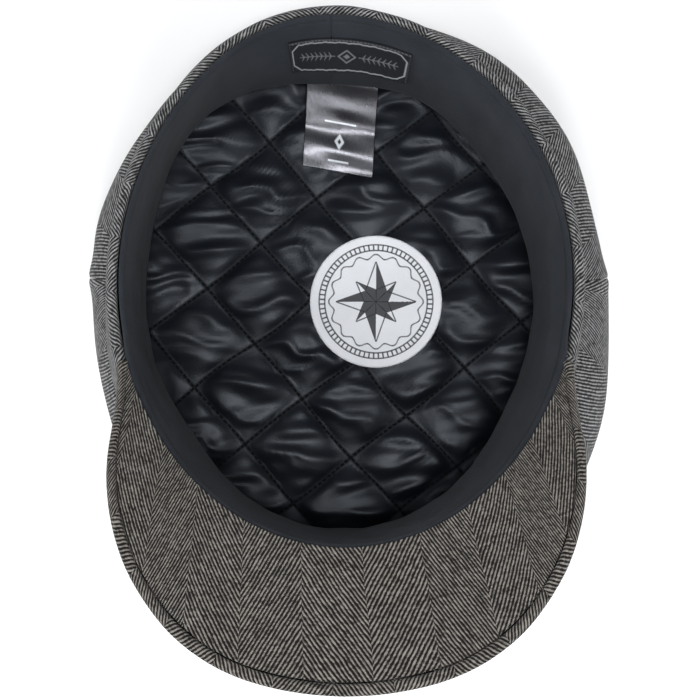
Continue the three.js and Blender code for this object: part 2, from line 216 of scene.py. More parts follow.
@dataclass
class Skin:
    """Grids of points that are welded into one mesh, with the cloth's flat coordinates."""

    points: list[np.ndarray] = field(default_factory=list)
    cloth: list[np.ndarray] = field(default_factory=list)
    marks: list[np.ndarray] = field(default_factory=list)
    faces: list[np.ndarray] = field(default_factory=list)
    count: int = 0

    def grid(self, points: np.ndarray, cloth: np.ndarray, mark: np.ndarray | None = None) -> None:
        """Adds a surface: a face between each two rows and each two columns.

        Args:
            points: rows by columns by three, in millimetres.
            cloth: rows by columns by two, the flat coordinates in millimetres.
            mark: rows by columns, how much of the second colour shows.
        """
        rows, columns = points.shape[:2]
        self.faces.append(quads(rows, columns) + self.count)
        self.points.append(points.reshape(-1, 3))
        self.cloth.append(cloth.reshape(-1, 2))
        self.marks.append(np.zeros(rows * columns) if mark is None else mark.ravel())
        self.count += rows * columns

    def shell(
        self,
        outer: np.ndarray,
        inner: np.ndarray,
        cloth: np.ndarray,
        closed: bool,
        mark: np.ndarray | None = None,
    ) -> None:
        """Adds a wall: its two faces and the strips that close its edges.

        Args:
            outer: the grid of one face.
            inner: the grid of the other face.
            cloth: the flat coordinates of both.
            closed: True where the last column is the first one again.
            mark: how much of the second colour shows on the outer face.
        """
        self.grid(outer, cloth, mark)
        self.grid(inner, cloth)
        edges = [np.s_[0], np.s_[-1]] + ([] if closed else [np.s_[:, 0], np.s_[:, -1]])
        for edge in edges:
            flat = cloth[edge]
            width = np.linalg.norm(outer[edge] - inner[edge], axis=-1)[:, None]
            self.grid(np.stack([outer[edge], inner[edge]]), np.stack([flat, flat + width]))

    def build(self, name: str) -> bpy.types.Object:
        """Makes the object, with seams and poles welded and faces turned outwards."""
        mesh = bpy.data.meshes.new(name)
        faces = np.concatenate(self.faces)
        mesh.from_pydata((np.concatenate(self.points) * MM).tolist(), [], faces.tolist())
        flat = np.concatenate(self.cloth)[faces.ravel()]
        mesh.uv_layers.new(name="cloth").data.foreach_set("uv", flat.ravel())
        marks = mesh.attributes.new("mark", "FLOAT", "POINT")
        marks.data.foreach_set("value", np.concatenate(self.marks))
        work = bmesh.new()
        work.from_mesh(mesh)
        bmesh.ops.remove_doubles(work, verts=work.verts, dist=WELD)
        bmesh.ops.recalc_face_normals(work, faces=work.faces)
        for face in work.faces:
            face.smooth = True
        work.to_mesh(mesh)
        work.free()
        return add_object(name, mesh)


def finish_piece(
    piece: bpy.types.Object, slot: Slot, look: bpy.types.Material, *nodes: str
) -> None:
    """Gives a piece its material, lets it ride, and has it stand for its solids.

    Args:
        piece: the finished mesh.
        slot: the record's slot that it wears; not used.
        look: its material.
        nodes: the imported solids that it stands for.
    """
    piece.data.materials.append(look)
    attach(piece, BODY)
    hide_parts(*nodes)
    log.info("%s: %d faces", piece.name, len(piece.data.polygons))


# The cap's form, which all of its parts share


@dataclass(frozen=True)
class CapForm:
    """The opening's oval, the headband's wall and the crown's section, as the solids have them."""

    opening_half_width: float = 82.6
    opening_half_length: float = 103.6
    back_narrowing: float = 0.05
    back_drift: float = 5
    opening_x: float = -1.6
    opening_y: float = 13.5
    opening_height: float = 83
    opening_tilt: float = np.radians(18)
    clearance: float = 0.3
    crown_cloth: float = 2.2
    lining_padding: float = 3
    headband_height: float = 32
    headband_cloth: float = 2.4
    headband_flare: float = 5.5
    headband_flare_to_left: float = 1
    crown_half_width: float = 101.4
    crown_back_length: float = 113.5
    crown_front_length: float = 121
    crown_x: float = -1.2
    crown_y: float = 5
    back_squareness: float = 2.12
    front_squareness: float = 2.3
    end_drift: float = 5
    drift_y: float = 31
    drift_span: float = 45
    girth_share: float = 0.47
    under_curve: float = 27
    tip_seam: float = np.radians(28)
    side_seam: float = np.radians(3)
    side_pucker: float = 1.5
    side_pucker_span: float = 3

    @property
    def back(self) -> np.ndarray:
        """The way from the visor to the back in the rim's plane."""
        return np.array([0, np.cos(self.opening_tilt), -np.sin(self.opening_tilt)])

    @property
    def out(self) -> np.ndarray:
        """The way out of the opening, square to the rim's plane."""
        return np.array([0, np.sin(self.opening_tilt), np.cos(self.opening_tilt)])

    @property
    def right_seam(self) -> float:
        """The angle of the crown's seam on the +X side."""
        return self.side_seam

    @property
    def left_seam(self) -> float:
        """The angle of the crown's seam on the other side."""
        return np.pi - self.side_seam

    def rim(self, angle: np.ndarray) -> np.ndarray:
        """The opening's oval: a cosine across and a sine towards the back, narrower behind."""
        sine = np.sin(angle)
        behind = np.maximum(sine, 0)
        half = self.opening_half_width * (1 - self.back_narrowing * behind**2)
        across = half * np.cos(angle) - self.back_drift * behind**4
        middle = np.array([self.opening_x, self.opening_y, self.opening_height])
        along = (self.opening_half_length * sine)[..., None] * self.back
        return middle + along + across[..., None] * np.array([1, 0, 0])

    def rim_normal(self, angle: np.ndarray) -> np.ndarray:
        """The oval's normal in the rim's plane: its tangent turned a quarter round the way out."""
        step = 0.001
        tangent = unit(self.rim(angle + step) - self.rim(angle - step))
        return np.cross(tangent, self.out)

    def near_rim(self, angle: np.ndarray, outward: np.ndarray, depth: np.ndarray) -> np.ndarray:
        """A point beside the rim: outward along its normal and down from its plane."""
        angle, outward, depth = np.broadcast_arrays(angle, outward, depth)
        sideways = self.rim_normal(angle) * outward[..., None]
        return self.rim(angle) + sideways - depth[..., None] * self.out

    def band(self, angle: np.ndarray, outward: np.ndarray, depth: np.ndarray) -> np.ndarray:
        """A point of the headband's wall, which flares in proportion to its depth."""
        flare = self.headband_flare - self.headband_flare_to_left * np.cos(angle)
        return self.near_rim(angle, outward + flare * depth / self.headband_height, depth)

    def oval(self, angle: np.ndarray, inset: np.ndarray) -> np.ndarray:
        """The crown's plan: a squarish oval with its ends drifting right and puckered seams.

        The sine and the cosine are raised to two over the squareness. Near a side seam the
        half width grows by a bell.
        """
        sine, cosine = np.sin(angle), np.cos(angle)
        power = 2 / np.where(sine > 0, self.back_squareness, self.front_squareness)
        away = [
            np.abs(2 * np.arcsin(np.sin((angle - seam) / 2)))
            for seam in (self.right_seam, self.left_seam)
        ]
        pucker = self.side_pucker * bump(np.degrees(np.minimum(*away)), self.side_pucker_span)
        half = self.crown_half_width - inset + pucker
        length = np.where(sine > 0, self.crown_back_length, self.crown_front_length) - inset
        y = self.crown_y + length * np.sign(sine) * np.abs(sine) ** power
        off = ((y - self.drift_y) / self.drift_span) ** 2
        drift = self.end_drift * off / (1 + off)
        x = self.crown_x + drift + half * np.sign(cosine) * np.abs(cosine) ** power
        return np.stack([x, y], -1)

    def crown(self, angle: np.ndarray, turn: np.ndarray, inset: np.ndarray) -> np.ndarray:
        """A point of the crown: two quarter ellipses above and below its widest line.

        The turn runs from a quarter at the headband through nought at the widest line to
        minus a quarter at the flat underside. Its cosine carries the point sideways and its
        sine up and down.
        """
        angle, turn, inset = np.broadcast_arrays(angle, turn, inset)
        depth = np.full(angle.shape, self.headband_height + self.clearance)
        start = self.band(angle, np.zeros(angle.shape), depth)
        under = self.band(angle, np.full(angle.shape, self.headband_cloth), depth)
        wall = np.minimum(start[..., 2], under[..., 2])
        girth_height = wall * self.girth_share
        above = turn > 0
        origin = np.where(above[..., None], start[..., :2], self.oval(angle, self.under_curve))
        end = np.where(above, wall - inset, inset)
        plan = blend(origin, self.oval(angle, inset), np.cos(turn)[..., None])
        height = girth_height + (end - girth_height) * np.abs(np.sin(turn))
        return np.concatenate([plan, height[..., None]], -1)


FORM = CapForm()


# Shader nodes


class Graph:
    """Adds nodes to one tree and joins them."""

    def __init__(self, tree: bpy.types.NodeTree) -> None:
        """Starts with the tree that the nodes go in."""
        self.tree = tree

    def put(self, socket: bpy.types.NodeSocket, value: object) -> None:
        """Joins a socket to another, or sets its value."""
        if isinstance(value, bpy.types.NodeSocket):
            self.tree.links.new(value, socket)
        else:
            socket.default_value = value

    def node(self, kind: str, inputs: dict | None = None, **settings: object) -> bpy.types.Node:
        """Adds a node.

        Args:
            kind: the node's type without the leading ShaderNode.
            inputs: a value or a socket for each input, by name or number.
            settings: the node's own properties.

        Returns:
            The new node.
        """
        made = self.tree.nodes.new("ShaderNode" + kind)
        for name, value in settings.items():
            setattr(made, name, value)
        for name, value in (inputs or {}).items():
            self.put(made.inputs[name], value)
        return made

    def math(self, operation: str, *values: object) -> bpy.types.NodeSocket:
        """One step of arithmetic on numbers or sockets."""
        return self.node("Math", dict(enumerate(values)), operation=operation).outputs[0]

    def step(self, low: float, high: float, value: object) -> bpy.types.NodeSocket:
        """Nought below low and one above high, level at both ends."""
        inputs = {"Value": value, "From Min": low, "From Max": high}
        return self.node("MapRange", inputs, interpolation_type="SMOOTHSTEP").outputs[0]

    def mix(self, share: object, first: object, second: object) -> bpy.types.NodeSocket:
        """A colour between two colours."""
        made = self.node("Mix", data_type="RGBA")
        for index, value in ((0, share), (6, first), (7, second)):
            if isinstance(value, tuple):
                value = (*value, 1.0)
            self.put(made.inputs[index], value)
        return made.outputs[2]

    def shaded(self, colour: object, share: object) -> bpy.types.NodeSocket:
        """A colour times a share."""
        inputs = {0: colour, "Scale": share}
        return self.node("VectorMath", inputs, operation="SCALE").outputs[0]

    def noise(self, place: object, scale: float, detail: float = 2.0) -> bpy.types.NodeSocket:
        """Noise at a place, from nought to one."""
        inputs = {"Vector": place, "Scale": scale, "Detail": detail}
        return self.node("TexNoise", inputs).outputs[0]

    def vector(self, x: object, y: object, z: object = 0.0) -> bpy.types.NodeSocket:
        """Three numbers as one place."""
        return self.node("CombineXYZ", {0: x, 1: y, 2: z}).outputs[0]

    def split(self, place: object) -> tuple[bpy.types.NodeSocket, ...]:
        """A place as its three numbers."""
        return tuple(self.node("SeparateXYZ", {0: place}).outputs)


def new_group(
    name: str, inputs: dict[str, float | None], outputs: dict[str, str]
) -> tuple[bpy.types.NodeTree, bpy.types.Node, bpy.types.Node]:
    """Makes a shader group with its sockets.

    Args:
        name: the group's name.
        inputs: a value for each input, or None for a place.
        outputs: a kind of socket, Float or Color, for each output.

    Returns:
        The group, its input node and its output node.
    """
    tree = bpy.data.node_groups.new(name, "ShaderNodeTree")
    for label, value in inputs.items():
        kind = "NodeSocketVector" if value is None else "NodeSocketFloat"
        socket = tree.interface.new_socket(label, in_out="INPUT", socket_type=kind)
        if value is not None:
            socket.default_value = value
    for label, kind in outputs.items():
        tree.interface.new_socket(label, in_out="OUTPUT", socket_type="NodeSocket" + kind)
    return tree, tree.nodes.new("NodeGroupInput"), tree.nodes.new("NodeGroupOutput")


def herringbone_group() -> bpy.types.NodeTree:
    """A herringbone weave on flat cloth coordinates.

    The cloth is cut into columns. In each the twill lines climb at one lean from the
    column's axis, and the next column mirrors them. A line's brightness is a sine of the
    distance across the lines, broken up by each yarn's own unevenness and by the ends of
    its floats. The columns drift a little sideways and the lines waver along them.
    """
    inputs = {"Cloth": None, "Column": 21.0, "Pitch": 2.5, "Lean": 0.53}
    outputs = {"Light": "Float", "Height": "Float", "Tone": "Float"}
    tree, given, result = new_group("herringbone", inputs, outputs)
    graph = Graph(tree)
    cloth, width = given.outputs["Cloth"], given.outputs["Column"]
    column_drift, line_waver, column_lag, line_spacing = 1.6, 0.9, 1.3, 3.7
    slub_strength, break_strength = 1.5, 2.8
    dark_below, light_above = -0.55, 1.2
    across, along, _ = graph.split(cloth)
    drift = graph.noise(cloth, 0.045)
    across = graph.math("ADD", across, graph.math("MULTIPLY", drift, column_drift))
    count = graph.math("DIVIDE", across, width)
    column = graph.math("FLOOR", count)
    inside = graph.math("MULTIPLY", graph.math("FRACT", count), width)
    odd = graph.math("FLOORED_MODULO", column, 2.0)
    side = graph.math("MULTIPLY_ADD", odd, -2.0, 1.0)
    climb = graph.math("DIVIDE", inside, graph.math("TANGENT", given.outputs["Lean"]))
    waver = graph.noise(cloth, 0.22)
    offset = graph.math("MULTIPLY", graph.math("SUBTRACT", waver, 0.5), line_waver)
    line = graph.math("MULTIPLY_ADD", climb, side, graph.math("ADD", along, offset))
    line = graph.math("ADD", line, graph.math("MULTIPLY", odd, column_lag))
    phase = graph.math("DIVIDE", line, given.outputs["Pitch"])
    own_place = graph.math("MULTIPLY", graph.math("FLOOR", phase), line_spacing)
    yarn = graph.vector(own_place, along, column)
    slub = graph.noise(yarn, 0.3, 1.0)
    float_end = graph.noise(yarn, 0.95, 1.0)
    wave = graph.math("SINE", graph.math("MULTIPLY", phase, TURN))
    lift = graph.math("MULTIPLY", graph.math("SUBTRACT", slub, 0.5), slub_strength)
    broken = graph.math("MULTIPLY", graph.math("SUBTRACT", float_end, 0.5), break_strength)
    level = graph.math("ADD", wave, graph.math("ADD", lift, broken))
    light = graph.step(dark_below, light_above, level)
    fibre = graph.noise(cloth, 2.6, 3.0)
    patch = graph.noise(cloth, 0.09, 2.0)
    tone = graph.math("ADD", graph.math("MULTIPLY", fibre, 0.5), graph.math("MULTIPLY", patch, 0.5))
    rise = graph.math("ADD", light, graph.math("MULTIPLY", fibre, 0.5))
    for label, value in (("Light", light), ("Height", rise), ("Tone", tone)):
        graph.put(result.inputs[label], value)
    return tree


def plain_weave_group() -> bpy.types.NodeTree:
    """A fine plain weave on a place: the product of two sines, with fibre noise."""
    inputs = {"Place": None, "Threads": 2.6}
    outputs = {"Height": "Float", "Tone": "Float"}
    tree, given, result = new_group("plain_weave", inputs, outputs)
    graph = Graph(tree)
    place = given.outputs["Place"]
    across, along, _ = graph.split(place)
    turns = graph.math("MULTIPLY", given.outputs["Threads"], np.pi)
    first = graph.math("SINE", graph.math("MULTIPLY", across, turns))
    second = graph.math("SINE", graph.math("MULTIPLY", along, turns))
    weave = graph.math("MULTIPLY", first, second)
    fibre = graph.noise(place, 1.8, 3.0)
    height = graph.math("MULTIPLY_ADD", weave, 0.5, fibre)
    patch = graph.noise(place, 0.06, 2.0)
    tone = graph.math("MULTIPLY_ADD", fibre, 0.4, graph.math("MULTIPLY", patch, 0.6))
    graph.put(result.inputs["Height"], height)
    graph.put(result.inputs["Tone"], tone)
    return tree


@dataclass
class Weaves:
    """The shader groups that the finishes share."""

    herringbone: bpy.types.NodeTree = field(default_factory=herringbone_group)
    plain: bpy.types.NodeTree = field(default_factory=plain_weave_group)


def start_material(
    name: str, **sockets: object
) -> tuple[bpy.types.Material, Graph, bpy.types.Node]:
    """Makes a material with a Principled shader and sets the shader's constant sockets.

    Args:
        name: the material's name.
        sockets: a value for each constant socket, with underscores for spaces.

    Returns:
        The material, its graph and its shader.
    """
    material = bpy.data.materials.new(name)
    material.use_nodes = True
    shader = material.node_tree.nodes["Principled BSDF"]
    for label, value in sockets.items():
        shader.inputs[label.replace("_", " ")].default_value = value
    return material, Graph(material.node_tree), shader


def cloth_place(graph: Graph) -> bpy.types.NodeSocket:
    """The piece's flat cloth coordinates."""
    return graph.node("UVMap", uv_map="cloth").outputs[0]


def drawn_mark(graph: Graph) -> bpy.types.NodeSocket:
    """How much of the second colour the drawing puts on the piece."""
    return graph.node("Attribute", attribute_name="mark").outputs["Fac"]


def add_relief(graph: Graph, shader: bpy.types.Node, height: object, depth: float) -> None:
    """Feeds a height in millimetres of depth into the shader's normal."""
    inputs = {"Height": height, "Distance": depth * MM, "Strength": 1.0}
    graph.put(shader.inputs["Normal"], graph.node("Bump", inputs).outputs[0])


@dataclass(frozen=True)
class WoolFinish:
    """Herringbone wool in light and dark yarn."""

    name: str
    light: Colour = (0.245, 0.227, 0.203)
    dark: Colour = (0.0095, 0.0085, 0.0078)
    column: float = 21.0
    pitch: float = 2.5
    lean: float = 0.53
    relief: float = 0.35
    roughness: float = 0.92
    specular: float = 0.15
    least_tone: float = 0.55
    tone_range: float = 0.9

    def material(self, weaves: Weaves) -> bpy.types.Material:
        """Makes the material."""
        sockets = {"Roughness": self.roughness, "Specular_IOR_Level": self.specular}
        sockets |= {"Sheen_Weight": 0.08, "Sheen_Roughness": 0.4}
        made, graph, shader = start_material(self.name, **sockets)
        inputs = {"Cloth": cloth_place(graph), "Column": self.column}
        inputs |= {"Pitch": self.pitch, "Lean": self.lean}
        weave = graph.node("Group", inputs, node_tree=weaves.herringbone)
        colour = graph.mix(weave.outputs["Light"], self.dark, self.light)
        tone = weave.outputs["Tone"]
        shade = graph.math("MULTIPLY_ADD", tone, self.tone_range, self.least_tone)
        graph.put(shader.inputs["Base Color"], graph.shaded(colour, shade))
        add_relief(graph, shader, weave.outputs["Height"], self.relief)
        return made


@dataclass(frozen=True)
class CottonFinish:
    """Plain black cotton with a faint bloom, with painted light near its lip and painted shade
    towards its free edge.
    """

    name: str = "black_cotton"
    colour: Colour = (0.0133, 0.0162, 0.0212)
    worn: Colour = (0.0232, 0.027, 0.0336)
    relief: float = 0.12
    # Painted shade: millimetres down the band where it starts and where it is full, and how much it
    # darkens the colour.
    edge_shade_from: float = 9.0
    edge_shade_to: float = 36.0
    edge_shade_strength: float = 0.42
    roughness: float = 0.85
    specular: float = 0.2
    bloom_from: float = 0.3
    bloom_to: float = 0.75

    def material(self, weaves: Weaves) -> bpy.types.Material:
        """Makes the material."""
        sockets = {"Roughness": self.roughness, "Specular_IOR_Level": self.specular}
        made, graph, shader = start_material(self.name, Sheen_Weight=0.05, **sockets)
        place = cloth_place(graph)
        weave = graph.node("Group", {"Place": place}, node_tree=weaves.plain)
        share = graph.step(self.bloom_from, self.bloom_to, weave.outputs["Tone"])
        bloom = graph.mix(share, self.colour, self.worn)
        # Painted light and shade: the colour is lifted a little near the lip and darkened towards
        # the free edge, where the band lies in shade.
        _, along, _ = graph.split(place)
        edge_shade_share = graph.step(self.edge_shade_from, self.edge_shade_to, along)
        painted_edge_shade = graph.math("MULTIPLY", edge_shade_share, self.edge_shade_strength)
        shade = graph.math("SUBTRACT", 1.0 + self.edge_shade_strength / 4, painted_edge_shade)
        graph.put(shader.inputs["Base Color"], graph.shaded(bloom, shade))
        add_relief(graph, shader, weave.outputs["Height"], self.relief)
        return made


@dataclass(frozen=True)
class QuiltFinish:
    """Black satin with the dark dashes of its quilting seams, and painted shade in the valleys
    along them.

    The sizes are in millimetres.
    """

    name: str = "black_satin"
    colour: Colour = (0.0056, 0.0068, 0.0098)
    # The stitches' colour, which the painted seam shade also darkens the satin towards.
    thread: Colour = (0.0012, 0.0014, 0.002)
    gloss: Colour = (0.84, 0.91, 1.0)
    stitch: float = 2.4
    stitch_width: float = 0.2
    stitch_fades_at: float = 0.55
    # Painted seam shade: full within the first distance from a seam and gone by the second, in
    # millimetres.
    seam_shade_from: float = 0.3
    seam_shade_to: float = 1.5
    specular: float = 0.19
    roughness: float = 0.29
    cloudiness: float = 0.14
    seam_roughness: float = 0.5
    relief: float = 0.3
    thread_share: float = 0.12
    sunk_share: float = 0.35

    def off_seam(self, graph: Graph, across: object) -> bpy.types.NodeSocket:
        """Millimetres from the nearest seam line of one lattice direction."""
        half = graph.math("SUBTRACT", graph.math("FRACT", graph.math("ADD", across, 0.5)), 0.5)
        return graph.math("MULTIPLY", graph.math("ABSOLUTE", half), QUILT_CELL)

    def dashes(self, graph: Graph, across: object, along: object) -> bpy.types.NodeSocket:
        """One where a stitch lies on a seam line that runs along one lattice direction."""
        off = graph.step(self.stitch_width, self.stitch_fades_at, self.off_seam(graph, across))
        run = graph.math("FRACT", graph.math("MULTIPLY", along, QUILT_CELL / self.stitch))
        from_middle = graph.math("ABSOLUTE", graph.math("SUBTRACT", run, 0.5))
        between = graph.step(0.3, 0.4, from_middle)
        on_line, on_stitch = (graph.math("SUBTRACT", 1.0, away) for away in (off, between))
        return graph.math("MULTIPLY", on_line, on_stitch)

    def material(self) -> bpy.types.Material:
        """Makes the material."""
        sockets = {"Specular_IOR_Level": self.specular, "Specular_Tint": (*self.gloss, 1.0)}
        sockets |= {"Anisotropic": 0.2, "Sheen_Weight": 0.03}
        made, graph, shader = start_material(self.name, **sockets)
        first, second, _ = graph.split(cloth_place(graph))
        dash = graph.math(
            "MAXIMUM", self.dashes(graph, first, second), self.dashes(graph, second, first)
        )
        # Painted shade along the seam valleys: near a seam the colour goes half way to the
        # thread's, besides the real dark stitches.
        nearest = graph.math("MINIMUM", self.off_seam(graph, first), self.off_seam(graph, second))
        flat = graph.step(self.seam_shade_from, self.seam_shade_to, nearest)
        crease = graph.math("SUBTRACT", 1.0, flat)
        dark = graph.math("MAXIMUM", dash, graph.math("MULTIPLY", crease, 0.5))
        graph.put(shader.inputs["Base Color"], graph.mix(dark, self.colour, self.thread))
        where = graph.node("TexCoord").outputs["Object"]
        cloudy = graph.noise(where, 60.0, 3.0)
        rough = graph.math("MULTIPLY_ADD", cloudy, self.cloudiness, self.roughness)
        rough = graph.math("MULTIPLY_ADD", dark, self.seam_roughness, rough)
        graph.put(shader.inputs["Roughness"], rough)
        x, y, _ = graph.split(where)
        thread = graph.noise(graph.vector(graph.math("MULTIPLY", x, 3.0), y), 900.0, 1.0)
        sunk = graph.math("MULTIPLY", dash, self.sunk_share)
        raised = graph.math("MULTIPLY", thread, self.thread_share)
        add_relief(graph, shader, graph.math("SUBTRACT", raised, sunk), self.relief)
        return made


@dataclass(frozen=True)
class PrintedFinish:
    """Cloth in a ground colour with a drawing in a second colour, held by the mark attribute."""

    name: str
    ground: Colour
    ink: Colour
    roughness: float
    threads: float = 2.6
    relief: float = 0.08
    specular: float = 0.3
    least_tone: float = 0.82
    tone_range: float = 0.35

    def material(self, weaves: Weaves) -> bpy.types.Material:
        """Makes the material."""
        sockets = {"Roughness": self.roughness, "Specular_IOR_Level": self.specular}
        made, graph, shader = start_material(self.name, **sockets)
        inputs = {"Place": cloth_place(graph), "Threads": self.threads}
        weave = graph.node("Group", inputs, node_tree=weaves.plain)
        colour = graph.mix(drawn_mark(graph), self.ground, self.ink)
        tone = weave.outputs["Tone"]
        shade = graph.math("MULTIPLY_ADD", tone, self.tone_range, self.least_tone)
        graph.put(shader.inputs["Base Color"], graph.shaded(colour, shade))
        add_relief(graph, shader, weave.outputs["Height"], self.relief)
        return made


@dataclass(frozen=True)
class RibbonFinish:
    """Glossy black satin ribbon with fine lengthwise threads and light printed marks."""

    name: str = "satin_ribbon"
    colour: Colour = (0.105, 0.106, 0.118)
    ink: Colour = (0.66, 0.7, 0.74)
    gleam: float = 0.9
    roughness: float = 0.2
    roughness_range: float = 0.2
    relief: float = 0.04
    drawn_out: float = 4.0

    def material(self) -> bpy.types.Material:
        """Makes the material."""
        sockets = {"Anisotropic": 0.5, "Specular_IOR_Level": 1.0}
        made, graph, shader = start_material(self.name, **sockets)
        across, along, _ = graph.split(cloth_place(graph))
        narrow = graph.math("MULTIPLY", across, self.drawn_out)
        thread = graph.noise(graph.vector(narrow, graph.math("DIVIDE", along, self.drawn_out)), 1.6)
        mark = drawn_mark(graph)
        gleam = graph.math("MULTIPLY_ADD", mark, -self.gleam, self.gleam)
        rough = graph.math("MULTIPLY_ADD", thread, self.roughness_range, self.roughness)
        graph.put(shader.inputs["Base Color"], graph.mix(mark, self.colour, self.ink))
        graph.put(shader.inputs["Metallic"], gleam)
        graph.put(shader.inputs["Roughness"], rough)
        add_relief(graph, shader, thread, self.relief)
        return made


# The crown


@dataclass(frozen=True)
class Crown:
    """The tip on which the cap lies, and the two side panels."""

    around: int = 250
    down: int = 48
    curve_rows: int = 26
    floor_rows: int = 20
    row_step: float = 1.1
    seam_depth: float = 1.2
    seam_width: float = 1.1
    side_seam_depth: float = 0.35
    side_seam_width: float = 0.8
    unevenness: float = 0.45
    uneven_length: float = 38
    highest_swell: float = 0.6
    column_from_seam: float = 14
    front_column_from_seam: float = 34
    fan: float = 0.42
    front_fan: float = 0.34
    eased: float = 0.5
    tip_gap: float = 0.48

    def panel(self, name: str, start: float, end: float, look: bpy.types.Material) -> None:
        """Builds a side panel from one side seam to the other.

        Its grid goes round the crown and down its section. The outer face is drawn in by a
        bell along the side seams and the tip's seam. Its cloth runs in columns down the
        section, fanned out in proportion to the distance from the panel's middle, and the
        cloth is eased where the wall is steep.

        Args:
            name: the node that it stands for.
            start: the angle of its first seam.
            end: the angle of its last seam.
            look: its material.
        """
        gap = FORM.clearance / 2 / FORM.crown_half_width
        angle = blend(start + gap, end - gap, dense_ends(self.around))[None, :]
        turn = blend(QUARTER, -FORM.tip_seam, dense_ends(self.down, 0.6))[:, None]
        plain = FORM.crown(angle, turn, 0)
        round_it = run_length(plain, 1)
        girth = np.broadcast_to(round_it[np.argmin(np.abs(turn))], round_it.shape)
        side = np.minimum(round_it, round_it[:, -1:] - round_it)
        along = run_length(plain, 0)
        low = along[-1] - along
        at_side = self.side_seam_depth * bump(side, self.side_seam_width)
        drawn = np.maximum(at_side, self.seam_depth * bump(low, self.seam_width))
        uneven = self.unevenness * ripple(plain, self.uneven_length, 3) * smooth_step(2, 14, side)
        uneven = np.maximum(uneven, -self.highest_swell) * np.cos(turn)
        outer = FORM.crown(angle, turn, drawn + uneven)
        inner = FORM.crown(angle, turn, FORM.crown_cloth)
        behind = start < QUARTER
        from_right = girth if behind else girth[:, -1:] - girth
        down = run_length(plain * np.array([1, 1, self.eased]), 0)
        off_middle = from_right / from_right.max() * 2 - 1
        first = self.column_from_seam if behind else self.front_column_from_seam
        fan = self.fan if behind else self.front_fan
        cloth = np.stack([from_right + fan * off_middle * down - first, down], -1)
        skin = Skin()
        skin.shell(outer, inner, cloth, closed=False)
        piece = skin.build(name + "_cloth")
        finish_piece(piece, Slot.WOOL, look, name)

    def tip(self, look: bpy.types.Material) -> None:
        """Builds the tip: rings from its seam to its flat middle, outside and inside.

        Its cloth is laid out flat from its middle: each point's heading from there times its
        distance along the surface.

        Args:
            look: its material.
        """
        gap = self.tip_gap / FORM.under_curve
        curve = np.linspace(-FORM.tip_seam - gap, -QUARTER, self.curve_rows)
        flat = np.linspace(1, 0, self.floor_rows)[1:]
        angle = np.linspace(0, TURN, self.around + 1)[None, :]
        from_seam = np.arange(self.curve_rows) * self.row_step
        seam = self.seam_depth * bump(from_seam, self.seam_width)[:, None]
        faces = []
        for inset, drawn in ((0.0, seam), (FORM.crown_cloth, FORM.crown_cloth)):
            curved = FORM.crown(angle, curve[:, None], drawn)
            middle = np.array([0, 0, inset])
            level = blend(middle, curved[-1][None], flat[:, None, None])
            faces.append(np.concatenate([curved, level]))
        plan = faces[0][..., :2]
        from_middle = run_length(faces[0][::-1], 0)[::-1]
        cloth = unit(plan[:1] - plan[-1:]) * from_middle[..., None]
        skin = Skin()
        skin.shell(faces[0], faces[1], cloth, closed=True)
        piece = skin.build("crown_tip_cloth")
        finish_piece(piece, Slot.WOOL, look, "crown_tip")

    def build(self, back: bpy.types.Material, front: bpy.types.Material) -> None:
        """Builds the three panels, the back one in its own columns of the wool."""
        self.panel("crown_back_panel", FORM.right_seam, FORM.left_seam, back)
        self.panel("crown_front_panel", FORM.left_seam, FORM.right_seam + TURN, front)
        self.tip(front)


# The headband


@dataclass(frozen=True)
class Headband:
    """The wall round the head, with a roll of cloth along the rim."""

    around: int = 420
    roll_rows: int = 26
    outside_rows: int = 12
    inside_rows: int = 10
    roll_width: float = 4.2
    roll_height: float = 5.5
    below_roll: float = 1.2
    unevenness: float = 0.22
    uneven_length: float = 24
    column_shift: float = 9

    def section(self) -> np.ndarray:
        """The closed section as rows of outward and depth: a wall whose top is an upright oval."""
        half_width, half_height = self.roll_width / 2, self.roll_height / 2
        roll = np.radians(np.linspace(180, -62, self.roll_rows))
        over = [half_width * (1 + np.cos(roll)), half_height * (1 - np.sin(roll))]
        low, high = FORM.headband_height, self.roll_height + self.below_roll
        down = np.linspace(high, low, self.outside_rows)
        up = np.linspace(low, half_height, self.inside_rows)
        outside = [np.full(down.shape, FORM.headband_cloth), down]
        inside = [np.zeros(up.shape), up]
        return np.concatenate([np.stack(run, -1) for run in (over, outside, inside)])

    def build(self, look: bpy.types.Material) -> None:
        """Carries the section round the rim, a little unevenly, and dresses it."""
        section = self.section()
        angle = np.linspace(0, TURN, self.around + 1)[:, None]
        outward, depth = section.T[:, None, :]
        plain = FORM.band(angle, outward, depth)
        on_roll = outward > FORM.headband_cloth
        uneven = self.unevenness * ripple(plain, self.uneven_length, 11) * on_roll
        points = FORM.band(angle, outward + uneven, depth + uneven / 2)
        points[-1] = points[0]
        round_it = np.broadcast_to(run_length(plain, 0)[:, :1], plain.shape[:2])
        cloth = np.stack([round_it - self.column_shift, run_length(plain, 1)], -1)
        skin = Skin()
        skin.grid(points, cloth)
        piece = skin.build("headband_cloth")
        finish_piece(piece, Slot.WOOL, look, "headband")


# The visor


